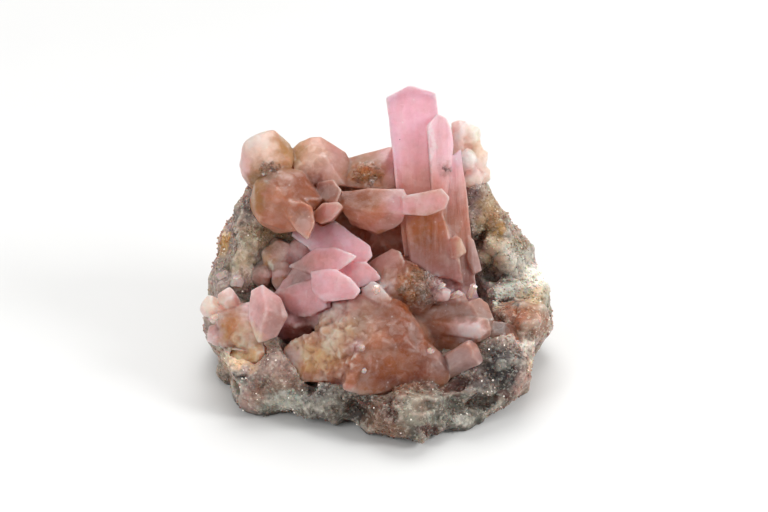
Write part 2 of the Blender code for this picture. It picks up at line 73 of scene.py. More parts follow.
# how far a crystal's crest stands out for the full painted highlight, and its hollow lies back for
# the full painted shade
CRYSTAL_SHADING_REACH = 0.12
WORN_GROWTH = 0.4  # how far the worn crystals grow, and the depth of their relief
WORN_SWELL = 0.3
WORN_GRAIN = 0.1
ROOT = 0.85  # how wide a small crystal's root is, as a share of its width
SHADING_ROUNDS = 3  # rounds of smoothing that crests and hollows are measured against
SHADING_GAIN, SHADING_START = 1.25, 0.25
GRAIN_HIGHLIGHT = 0.4  # how much painted highlight a grain of druse gets, before its painted shade is taken off
TINT_FADE = 0.45  # how far a patch of colour fades, as a share of its radii
PATCH_FADE = 0.25  # and how far a patch of shape does

PALETTE = {
    "rose": (255, 198, 214),
    "blush": (250, 208, 208),
    "petal": (250, 186, 194),
    "mauve": (228, 168, 168),
    "dusk": (168, 134, 124),
    "peach": (252, 222, 206),
    "cream": (244, 214, 182),
    "honey": (238, 180, 112),
    "salmon": (216, 142, 116),
    "clay": (186, 120, 88),
    "cocoa": (132, 96, 76),
    "amber": (210, 122, 56),
    "tawny": (200, 132, 98),
    "russet": (132, 58, 28),
    "umber": (150, 80, 48),
    "rust": (136, 54, 30),
    "garnet": (120, 48, 34),
    "frost": (255, 246, 242),
    "stone": (166, 148, 134),
    "lilac_grey": (150, 130, 126),
    "sage": (148, 144, 126),
    "slate": (104, 100, 90),
    "ash": (190, 186, 174),
    "moss": (122, 104, 70),
    "tan": (170, 134, 92),
    "sand": (210, 184, 146),
    "ochre": (182, 134, 70),
    "chalk": (246, 240, 224),
    "maroon": (88, 50, 44),
    "soot": (44, 40, 40),
    "peat": (62, 44, 30),
}


def colour(name):
    """A palette colour as linear light."""
    return tuple((part / 255) ** 2.2 for part in PALETTE[name]) + (1.0,)


def place(across, up, out):
    """World position, in metres, of a place on the show side."""
    sin, cos = math.sin(SHOW_ANGLE), math.cos(SHOW_ANGLE)
    return Vector((across, up * sin - out * cos, up * cos + out * sin)) * MM


# ===== Shader building =====


class Value:
    """A number that varies over a surface. Arithmetic on it adds Math nodes."""

    def __init__(self, finish, socket):
        self.finish = finish
        self.socket = socket

    def math(self, operation, other):
        sockets = self.finish.node("ShaderNodeMath", {0: self, 1: other}, operation=operation)
        return Value(self.finish, sockets[0])

    def __add__(self, other):
        return self.math("ADD", other)

    def __mul__(self, other):
        return self.math("MULTIPLY", other)

    __radd__ = __add__
    __rmul__ = __mul__


class Graph:
    """A node tree being built."""

    def __init__(self, tree):
        self.tree = tree

    def node(self, kind, inputs=None, **settings):
        """The outputs of a new node, given its settings and its sockets' values or links."""
        node = self.tree.nodes.new(kind)
        for name, value in settings.items():
            setattr(node, name, value)
        for key, value in (inputs or {}).items():
            self.feed(node.inputs[key], value)
        return node.outputs

    def feed(self, socket, value):
        """Links a value to a socket, or sets the socket to it."""
        if isinstance(value, Value):
            value = value.socket
        if isinstance(value, bpy.types.NodeSocket):
            self.tree.links.new(value, socket)
        else:
            socket.default_value = value


class Finish(Graph):
    """A material being built: its shader, its colour so far and its places on the show side."""

    def __init__(self, name, base, light=None):
        self.material = bpy.data.materials.new(name)
        self.material.use_nodes = True
        super().__init__(self.material.node_tree)
        self.shader = self.tree.nodes["Principled BSDF"]
        self.base = base
        for socket, value in (light or {}).items():
            self.give(socket, value)
        where = self.node("ShaderNodeTexCoord")["Object"]
        turn = (SHOW_ANGLE - math.pi / 2, 0, 0)
        inputs = {"Vector": where, "Rotation": turn, "Scale": (1 / MM,) * 3}
        self.spot = self.node("ShaderNodeMapping", inputs)[0]

    def give(self, socket, value):
        self.feed(self.shader.inputs[socket], value)

    def vector(self, operation, first, second=(0, 0, 0), output=0):
        sockets = self.node("ShaderNodeVectorMath", {0: first, 1: second}, operation=operation)
        return sockets[output]

    def between(self, value, low, high, most=1.0):
        """0 where the value is at low, most where it is at high, and clamped past them."""
        inputs = {"Value": value, "From Min": low, "From Max": high, "To Max": most}
        return Value(self, self.node("ShaderNodeMapRange", inputs, clamp=True)[0])

    def noise(self, where, size, detail=3.0, rough=0.55, bend=0.0, output=0):
        """Cloudy noise from 0 to 1, whose lumps are about size across."""
        inputs = {"Vector": where, "Scale": 1 / size, "Detail": detail, "Roughness": rough}
        inputs["Distortion"] = bend
        return Value(self, self.node("ShaderNodeTexNoise", inputs)[output])

    def cells(self, where, size, metric="EUCLIDEAN", output="Distance"):
        """Distance to the nearest of scattered points, in cells of about size across."""
        inputs = {"Vector": where, "Scale": 1 / size}
        return Value(self, self.node("ShaderNodeTexVoronoi", inputs, distance=metric)[output])

    def lots(self, where, size):
        """A number from 0 to 1 drawn for each of the blocks of a size that a body breaks into."""
        drawn = self.cells(where, size, "CHEBYCHEV", "Color")
        return Value(self, self.vector("DOT_PRODUCT", drawn, (1, 0, 0), "Value"))

    def bent(self, size, reach):
        """The places, shifted to and fro by up to reach, so that patches are ragged."""
        drift = self.noise(self.spot, size, rough=0.5, output="Color")
        centred = self.vector("SUBTRACT", drift, (0.5, 0.5, 0.5))
        return self.vector("ADD", self.spot, self.vector("MULTIPLY", centred, (2 * reach,) * 3))

    def mix(self, below, above, factor):
        """Two colours mixed, through the sockets that a Mix node keeps for colours."""
        inputs = {0: factor, 6: below, 7: above}
        return self.node("ShaderNodeMix", inputs, data_type="RGBA")[2]

    def attribute(self, name):
        return Value(self, self.node("ShaderNodeAttribute", attribute_name=name)["Fac"])

    def lay(self, name, most, value, low=0.0, high=1.0):
        """Lays a palette colour over the base, growing to most as a value goes from low to high."""
        self.base = self.mix(self.base, colour(name), self.between(value, low, high, most))

    def tint(self, where, tints):
        """Lays patches over the base: (palette colour, centre, radii, strength)."""
        for name, centre, radii, strength in tints:
            share = self.vector("DIVIDE", self.vector("SUBTRACT", where, centre), radii)
            far = self.vector("LENGTH", share, output="Value")
            self.lay(name, strength, far, 1 + TINT_FADE, 1 - TINT_FADE)

    def done(self, roughness, height=None, depth=0, strength=1):
        """The material, with its base colour, its roughness and a relief of a height."""
        self.give("Base Color", self.base)
        self.give("Roughness", roughness)
        if height:
            inputs = {"Height": height, "Distance": depth * MM, "Strength": strength}
            self.give("Normal", self.node("ShaderNodeBump", inputs)[0])
        return self.material


# ===== Mesh building =====


def add_object(name, data):
    thing = bpy.data.objects.new(name, data)
    bpy.context.scene.collection.objects.link(thing)
    return thing


def finished(thing):
    """An object's mesh with its modifiers applied. The object is removed."""
    graph = bpy.context.evaluated_depsgraph_get()
    mesh = bpy.data.meshes.new_from_object(thing.evaluated_get(graph))
    bpy.data.objects.remove(thing)
    return mesh


def baked(mesh, kind, **settings):
    """The mesh after a modifier of a kind."""
    thing = add_object("worked", mesh)
    change = thing.modifiers.new(kind.title(), kind)
    for name, value in settings.items():
        setattr(change, name, value)
    return finished(thing)


def mesh_from(shape, name):
    """A mesh of a bmesh, which is freed."""
    mesh = bpy.data.meshes.new(name)
    shape.to_mesh(mesh)
    shape.free()
    return mesh


def merged_copy(node):
    """A solid's mesh with its loose triangles joined up."""
    shape = bmesh.new()
    shape.from_mesh(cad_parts[node].data)
    bmesh.ops.remove_doubles(shape, verts=shape.verts, dist=1e-6)
    return mesh_from(shape, node)


def vectors_of(items, field):
    flat = np.empty(len(items) * 3, dtype=np.float32)
    items.foreach_get(field, flat)
    return flat.reshape(-1, 3)


def points_of(mesh):
    return vectors_of(mesh.vertices, "co")


def normals_of(mesh):
    return vectors_of(mesh.vertex_normals, "vector")


def set_points(mesh, points):
    mesh.vertices.foreach_set("co", points.astype(np.float32).ravel())
    mesh.update()


def spots_of(mesh):
    """A mesh's points as (across, up, out) in millimetres."""
    sin, cos = math.sin(SHOW_ANGLE), math.cos(SHOW_ANGLE)
    x, y, z = (points_of(mesh) / MM).T
    return np.column_stack((x, y * sin + z * cos, z * sin - y * cos))


def in_patches(spots, patches):
    """How deep each place lies in any of the patches, from 0 outside to 1 inside."""
    inside = np.zeros(len(spots))
    for centre, radii in patches:
        far = np.linalg.norm((spots - centre) / radii, axis=1)
        inside = np.maximum(inside, np.clip((1 + PATCH_FADE - far) / (2 * PATCH_FADE), 0, 1))
    return inside


def cloudy(spots, size, seed):
    """Smooth noise from -1 to 1 at each place."""
    offset = Vector((seed, seed * 1.7, -seed))
    return np.array([noise.noise(Vector(spot) / size + offset) for spot in spots])


def clouded(spots, size, seed, middle, swing, low, high=1.0):
    """Smooth noise that swings about a middle and is cut off at low and high."""
    return np.clip(middle + swing * cloudy(spots, size, seed), low, high)


def strayed(spots, size, reach):
    """The places, each shifted to and fro by up to reach, so that patches on them are ragged."""
    drift = [cloudy(spots, size, seed) for seed in (21, 33, 47)]
    return spots + reach * np.column_stack(drift)


def scatter(cells, salt):
    """A random number from 0 to 1 for each cell of a grid, the same each time for a salt."""
    mixed = np.sin(cells @ np.array((127.1, 311.7, 74.7)) + salt * 13.73) * 43758.5453
    return mixed - np.floor(mixed)


def blocky(spots, size, seed, inside=None):
    """Relief of intergrown blocks of a size, about -0.5 to 0.5, each turned its own way."""
    heights = np.zeros(len(spots))
    chosen = np.ones(len(spots), dtype=bool) if inside is None else inside > 0
    where = spots[chosen] / size + seed
    home = np.floor(where)
    nearest = np.full(len(where), 9.0)
    for step in itertools.product((-1, 0, 1), repeat=3):
        cell = home + step
        seeds = cell + np.column_stack([scatter(cell, salt) for salt in (1, 2, 3)])
        away = where - seeds
        turn, lean = scatter(cell, 4) * math.tau, scatter(cell, 5) * math.pi
        x = away[:, 0] * np.cos(turn) + away[:, 1] * np.sin(turn)
        y = away[:, 1] * np.cos(turn) - away[:, 0] * np.sin(turn)
        z = away[:, 2] * np.cos(lean) - y * np.sin(lean)
        y = y * np.cos(lean) + away[:, 2] * np.sin(lean)
        reach = np.abs((x, y, z)).max(axis=0)
        nearest = np.minimum(nearest, reach * (0.75 + 0.5 * scatter(cell, 6)))
    heights[chosen] = 0.42 - nearest
    return heights


def push(mesh, amounts):
    """Moves each point out along its normal by an amount."""
    set_points(mesh, points_of(mesh) + normals_of(mesh) * (amounts * MM)[:, None])


def shift(mesh, node):
    """Moves whole corners of a mesh, fading out around each of them."""
    spots = spots_of(mesh)
    for centre, radii, move in SHIFTED.get(node, ()):
        step = np.array(place(*move)) * in_patches(spots, ((centre, radii),))[:, None]
        set_points(mesh, points_of(mesh) + step)


def neighbour_means(mesh, points):
    ends = np.empty(len(mesh.edges) * 2, dtype=np.int32)
    mesh.edges.foreach_get("vertices", ends)
    ends = ends.reshape(-1, 2)
    total = np.zeros_like(points)
    count = np.zeros(len(points))
    for here, there in ((0, 1), (1, 0)):
        np.add.at(total, ends[:, here], points[ends[:, there]])
        np.add.at(count, ends[:, here], 1)
    return total / np.maximum(count, 1)[:, None]


def remade(mesh, voxel, rounds):
    """The mesh made anew of small even faces, then relaxed towards its neighbours' middles."""
    mesh = baked(mesh, "REMESH", mode="VOXEL", voxel_size=voxel * MM)
    points = points_of(mesh)
    for _ in range(rounds):
        points = points + (neighbour_means(mesh, points) - points) * 0.5
    set_points(mesh, points)
    return mesh


def melt(mesh, patches, rounds):
    """Rounds off the edges inside some patches."""
    inside = in_patches(spots_of(mesh), patches)[:, None]
    soft = baked(mesh.copy(), "SMOOTH", factor=0.5, iterations=rounds)
    set_points(mesh, points_of(mesh) * (1 - inside) + points_of(soft) * inside)


def store(mesh, name, values):
    layer = mesh.attributes.new(name, "FLOAT", "POINT")
    layer.data.foreach_set("value", np.asarray(values, dtype=np.float32))


def store_crest_light_and_hollow_shade(mesh, reach):
    """Stores how far each point stands out as "crest" and lies back as "hollow", from 0 to 1, for
    painted highlight on crests and painted shade in hollows.
    """
    points = points_of(mesh)
    even = points
    for _ in range(SHADING_ROUNDS):
        even = neighbour_means(mesh, even)
    stands = ((points - even) * normals_of(mesh)).sum(axis=1) / (reach * MM)
    store(mesh, "crest", np.clip(stands * SHADING_GAIN - SHADING_START, 0, 1))
    store(mesh, "hollow", np.clip(-stands * SHADING_GAIN - SHADING_START, 0, 1))


def smooth(mesh):
    mesh.polygons.foreach_set("use_smooth", np.ones(len(mesh.polygons), dtype=bool))


def prism(shape, root, tip, wide, thick, slope, turn, spin):
    """Adds a six-sided crystal, a little narrower at its root and with three end faces."""
    start, peak = place(*root), place(*tip)
    axis = (peak - start).normalized()
    length = (peak - start).length
    outward = place(0, 0, 1) - axis * place(0, 0, 1).dot(axis)
    side = outward.cross(axis).normalized()
    stance = Matrix((side, axis.cross(side), axis)).transposed()
    stance = stance @ Matrix.Rotation(math.radians(turn), 3, "Z")
    piece = bmesh.new()
    tall = length + wide * MM
    bmesh.ops.create_cone(piece, cap_ends=True, segments=6, radius1=ROOT, radius2=1, depth=tall)
    bmesh.ops.scale(piece, vec=(wide / 2 * MM, thick / 2 * MM, 1), verts=piece.verts)
    bmesh.ops.translate(piece, vec=(0, 0, tall / 2), verts=piece.verts)
    sin, cos = math.sin(math.radians(slope)), math.cos(math.radians(slope))
    for n in range(3):
        heading = math.radians(spin + 120 * n)
        cut = bmesh.ops.bisect_plane(
            piece,
            geom=piece.verts[:] + piece.edges[:] + piece.faces[:],
            plane_co=(0, 0, length),
            plane_no=(sin * math.cos(heading), sin * math.sin(heading), cos),
            clear_outer=True,
            dist=1e-7,
        )
        rim = [edge for edge in cut["geom_cut"] if isinstance(edge, bmesh.types.BMEdge)]
        if rim:
            bmesh.ops.edgeloop_fill(piece, edges=rim)
    bmesh.ops.recalc_face_normals(piece, faces=piece.faces[:])
    stand = Matrix.Translation(start) @ stance.to_4x4()
    bmesh.ops.transform(piece, matrix=stand, verts=piece.verts)
    mesh = mesh_from(piece, "prism")
    shape.from_mesh(mesh)
    bpy.data.meshes.remove(mesh)


# ===== Finishes =====

# Patches of colour: palette colour, centre and radii on the show side, strength.
SPIRE_TINTS = (
    ("salmon", (11, 33, 15), (10, 8.5, 14), 0.75),
    ("tawny", (12, 26, 15), (10, 7, 14), 0.65),
    ("amber", (9.4, 30, 16), (4.6, 4.4, 7), 0.95),
    ("umber", (13, 20, 15), (9, 6, 10), 0.6),
    ("russet", (10, 27, 12), (3.6, 4, 9), 0.5),
    ("salmon", (8.6, 43, 17), (4.4, 6, 6), 0.4),
    ("tawny", (8.6, 38.6, 17), (5, 3.6, 6), 0.4),
    ("umber", (16.6, 34, 14), (3, 7, 6), 0.35),
    ("tawny", (19, 31, 14), (3, 11, 6), 0.6),
    ("dusk", (20.4, 23, 13), (2.4, 6, 6), 0.7),
    ("umber", (18, 20, 14), (4, 4, 6), 0.5),
    ("blush", (13.6, 48, 19), (2.4, 8, 5), 0.5),
    ("frost", (11.2, 47, 20), (0.5, 7, 2), 0.5),
    ("umber", (14.4, 41.8, 19), (1.2, 1.2, 2), 0.6),
    ("cream", (17.6, 24.6, 18.2), (1.4, 2, 1.4), 0.5),
)

PALE_TINTS = (
    ("rose", (17.4, 51.6, 10), (2.6, 5, 5), 0.35),
    ("frost", (18.6, 49.6, 11), (2.6, 3.4, 5), 0.4),
    ("peach", (21.2, 37.8, 10), (2.6, 2.4, 5), 0.5),
    ("chalk", (21.4, 50, 10), (1.6, 3, 5), 0.4),
    ("frost", (17, 47, 9), (1.8, 5, 6), 0.5),
    ("sand", (20.6, 47.6, 10), (2.6, 2, 5), 0.5),
    ("frost", (19.4, 44.6, 11), (2, 2.2, 3), 0.9),
    ("blush", (21, 41.6, 10), (2.6, 2.2, 5), 0.6),
    ("peach", (20.6, 39.4, 10), (4.4, 2, 5), 0.6),
    ("honey", (19.6, 38.6, 11), (1.6, 1, 3), 0.5),
    ("salmon", (21.2, 37.6, 9), (2.6, 1.8, 5), 0.4),
)

BACK_LEFT_TINTS = (
    # the rounded ball
    ("peach", (-25.5, 47, 12), (6.4, 4.8, 9), 0.9),
    ("frost", (-26.4, 48.6, 13), (3.4, 1.8, 7), 0.5),
    ("tan", (-23, 42.4, 13), (4.4, 2.4, 8), 0.55),
    ("ochre", (-19.4, 46.4, 12), (3.2, 5.4, 7), 0.95),
    ("amber", (-20.4, 43.6, 13), (2, 3, 6), 0.3),
    ("blush", (-29.8, 42.4, 11), (2.6, 5, 7), 0.85),
    ("dusk", (-27.6, 39, 11), (3, 2.2, 7), 0.7),
    # the crystal beside it
    ("mauve", (-9.6, 44.6, 14), (5.6, 6, 6), 0.85),
    ("dusk", (-11, 43, 14), (5, 5, 6), 0.5),
    ("cream", (-14.6, 45.6, 13), (4, 3.6, 6), 0.4),
    ("tawny", (-8.6, 39.6, 14), (3.4, 2.6, 5), 0.6),
    # the dome and its tip
    ("umber", (-20.6, 40.2, 17), (7, 2.6, 9), 0.55),
    ("umber", (-15.4, 36.6, 19), (4, 4.6, 7), 0.7),
    ("ochre", (-26.2, 36.6, 16), (1.9, 5, 9), 0.75),
    ("moss", (-24.6, 40.6, 16), (2.6, 1.2, 9), 0.5),
    ("salmon", (-21.6, 30.4, 19), (5, 2.6, 7), 0.7),
    ("clay", (-17.2, 32.6, 24), (4, 4, 3.4), 0.9),
    ("umber", (-17, 32.4, 24), (3, 3.4, 3), 0.4),
    ("blush", (-14.6, 28.6, 24), (1.8, 2.4, 2.4), 0.3),
    ("dusk", (-15.4, 31, 24), (1.8, 2.4, 2.4), 0.35),
    ("dusk", (-9.6, 37.6, 18.5), (2.6, 2.6, 4), 0.8),
    ("garnet", (-12.8, 38.6, 15), (1.2, 2.2, 4), 0.8),
    ("mauve", (-10, 32.6, 21.5), (3.2, 2.4, 3), 0.7),
    # the crystal behind the arm
    ("mauve", (2.4, 44, 12), (4, 4.6, 7), 0.85),
    ("petal", (3, 44, 12), (3, 4, 7), 0.4),
    ("tan", (-3.6, 43, 13), (4.6, 4, 6), 0.6),
    ("clay", (-2.4, 41.6, 13.5), (4.4, 3, 5), 0.6),
    ("amber", (-2.4, 41.4, 13.5), (3, 2.2, 5), 1),
    ("umber", (-2, 40.6, 13.5), (1.6, 0.9, 5), 0.4),
    # painted light: lightens this crystal's underside, which lies in deep shade
    ("salmon", (-2.2, 30, 14), (5, 1.8, 6), 0.9),
    ("ochre", (-18.6, 47.6, 12), (2, 2.4, 6), 0.6),
    ("umber", (-5.6, 37.6, 12), (4.4, 2.2, 7), 0.7),
    # the arm
    ("blush", (12, 35.4, 20), (6.4, 3.4, 5), 0.7),
    ("petal", (12, 34.4, 20), (6.4, 2.4, 5), 0.5),
    ("blush", (4.6, 36, 17.5), (4, 2.6, 6), 0.9),
    ("petal", (4.6, 33.4, 17.5), (3.6, 2.4, 6), 0.8),
    ("umber", (-5, 35.8, 17.5), (4.6, 3, 6), 0.65),
    ("salmon", (-1, 32, 16), (4, 1.8, 6), 0.5),
    ("blush", (3, 29.6, 17), (5, 1, 4), 0.5),
    # the recess below
    ("umber", (1, 27, 6), (9, 5.5, 7.5), 0.35),
    ("salmon", (-1, 26, 8), (7, 5, 6), 0.8),
    ("rust", (5.6, 25.6, 10), (2, 4.6, 6), 0.4),
)

BLADE_TINTS = (
    ("rose", (-9.6, 27.4, 14), (6, 3.4, 7), 0.8),
    ("mauve", (-7.6, 23.4, 21), (4.4, 2.6, 4), 0.5),
    ("mauve", (-2.4, 21, 19), (3.4, 4.4, 4), 0.5),
    ("rose", (-6, 24, 21), (4.6, 2.4, 5), 0.35),
    ("dusk", (-17.6, 20, 14.6), (3.6, 3.6, 5), 0.75),
    ("salmon", (-13, 22.4, 17.6), (3.4, 2, 4), 0.35),
    ("mauve", (-16.4, 14.2, 18), (5, 3.4, 4), 0.5),
    ("salmon", (-20.6, 14.4, 15), (2.6, 2.6, 4), 0.4),
    ("mauve", (-12.6, 10.2, 17), (3.6, 3.4, 4), 0.7),
    ("umber", (-14, 8, 14.6), (2.6, 3, 3.4), 0.6),
    ("rust", (-17.4, 8, 13), (4.4, 4.6, 5), 0.85),
    ("soot", (-18.8, 5, 13), (2.2, 0.9, 5), 0.9),
)

FRONT_TINTS = (
    # the cream and honey corner
    ("blush", (-1.4, 16.6, 21), (4, 2.8, 3.6), 0.8),
    # partly the clear pair's own pale tone and partly a painted highlight
    ("frost", (0, 16.6, 22), (2.6, 2.6, 4), 0.5),
    ("honey", (-7.6, 10.4, 21), (4, 3, 5), 0.45),
    ("salmon", (-6, 13.4, 21), (6, 2.4, 5), 0.6),
    ("blush", (-8.6, 12.2, 20), (4.6, 3.4, 5), 0.85),
    ("tan", (-4.6, 9.4, 23), (3.4, 3.6, 6), 0.5),
    ("cream", (-10, 6.6, 22), (5, 3.6, 7), 0.8),
    ("honey", (-13.6, 2.6, 21), (6, 3, 7), 0.85),
    ("cream", (-13.6, 3.2, 21.5), (4.4, 2.4, 7), 0.45),
    ("chalk", (-16.6, 3.4, 21), (2, 1.6, 6), 0.4),
    ("honey", (-13.9, 2.4, 21.5), (3.6, 2.2, 7), 0.4),
    ("clay", (-5.6, 2.6, 22), (3.4, 3.6, 6), 0.5),
    ("clay", (-12.9, 6.6, 21), (3.8, 1.8, 6), 0.7),
    ("salmon", (-8.6, 11.4, 21), (4, 3, 5), 0.3),
    # partly its own pale tone and partly painted light, lifting the shade the blades cast here
    ("peach", (-9.2, 11.6, 21), (3, 2.6, 5), 0.5),
    ("chalk", (-10.4, 5.2, 23), (1.6, 2.2, 5), 0.5),
    ("blush", (-18.8, 1.8, 20), (2.2, 2.2, 7), 0.7),
    ("blush", (-4.8, 4.2, 24), (1.3, 1.4, 6), 0.6),
    ("mauve", (-8.6, -4.6, 22), (3.6, 1.8, 6), 0.5),
    # the long smooth side
    ("dusk", (-1, 11, 23), (4.6, 3.4, 6), 0.5),
    ("tawny", (-1, 6.4, 23), (3, 3.4, 6), 0.5),
    ("umber", (2.4, 9.6, 23), (3.4, 3.4, 5), 0.5),
    ("russet", (4.6, -1.2, 22), (8.4, 4, 8), 0.85),
    ("russet", (6.4, 4, 22), (5, 4.4, 8), 0.6),
    ("amber", (3.4, 0.8, 23), (4, 2.6, 6), 0.35),
    ("umber", (5.4, 10.6, 22), (3.4, 4.4, 5), 0.5),
    ("dusk", (7.4, 8, 23), (1.2, 3.6, 4), 0.6),
    # the block above it and its tiny crystals
    ("mauve", (1.4, 23, 18), (4.4, 3, 6), 0.5),
    ("umber", (6.4, 21, 18), (3, 2, 6), 0.6),
    ("amber", (8.6, 17, 19), (3.8, 3.4, 6), 0.8),
    ("amber", (7.4, 17.2, 19), (3.6, 2.8, 5), 0.6),
    ("honey", (9.8, 17, 20), (1.4, 1.6, 5), 0.4),
    ("rust", (7.2, 13.4, 20), (3, 1.7, 5), 0.95),
    ("amber", (7.4, 13.6, 20), (2.4, 1.6, 5), 0.6),
    # the crystals to the right
    ("mauve", (16, 17, 18), (6, 3, 5), 0.95),
    ("dusk", (17, 12.8, 20), (7, 2.6, 6), 0.85),
    ("umber", (14, 12.4, 20), (7, 2, 6), 0.4),
    ("umber", (11, 11, 18), (3.4, 2, 5), 0.5),
    ("blush", (18.6, 7.6, 21.6), (4.4, 2.4, 5), 1),
    # painted light: frost lifts this weakly lit crystal
    ("frost", (19, 7.2, 21.6), (3, 1.6, 5), 0.45),
    ("dusk", (24.8, 8.4, 19), (2.6, 4, 6), 1),
    ("cocoa", (24.2, 8.6, 20), (2, 2.8, 6), 0.6),
    ("dusk", (20.8, 10.4, 20), (4, 1.2, 6), 0.7),
    ("blush", (14.3, 15.4, 19), (2, 1.6, 5), 0.6),
    ("dusk", (17.6, 1.4, 22), (7, 3.4, 5), 0.95),
    ("lilac_grey", (18, 1.6, 22), (6, 3, 5), 0.3),
    ("mauve", (18, 1.6, 22), (6, 3, 5), 0.2),
    ("umber", (13, 7, 18), (3.6, 2.4, 5), 0.5),
    ("umber", (28, 8.2, 15), (3.2, 3.4, 7), 0.95),
    ("peat", (27.2, 9, 15), (2.8, 2.4, 7), 0.7),
)

LEFT_EDGE_TINTS = (
    ("mauve", (-22.6, 11.6, 22), (4.4, 6, 4), 0.8),
    ("dusk", (-22, 9.4, 22), (4, 4.4, 4), 0.5),
    ("cream", (-27.6, 6.4, 19), (2.4, 2.6, 5), 0.7),
    ("ochre", (-31.2, 8.4, 17), (3, 4.4, 5), 0.9),
    ("amber", (-30.8, 9.4, 17), (2, 3, 5), 0.6),
    ("peach", (-35, 13.4, 15), (4.6, 3, 5), 0.7),
    ("honey", (-28.6, 3, 17), (5, 3.4, 6), 0.6),
    ("salmon", (-26.4, 5.6, 18), (2.6, 2.6, 4), 0.4),
    ("umber", (-33.4, 3.8, 14), (2.4, 1.8, 5), 0.5),
    ("dusk", (-34.8, 8.4, 14), (1.6, 2, 4), 0.5),
    ("cream", (-27.6, 6, 17), (2.8, 2.8, 7), 0.9),
    ("honey", (-28.6, 1.6, 16), (4, 2.4, 7), 0.6),
    ("dusk", (-20.8, 9, 21), (3, 5, 7), 0.35),
    ("dusk", (-33.4, 15, 15), (1.8, 1.4, 5), 0.3),
    ("peach", (-35.6, 12.6, 15), (2.6, 2, 5), 0.6),
    ("peach", (-27.4, 6.2, 18), (2, 1.8, 6), 0.6),
)

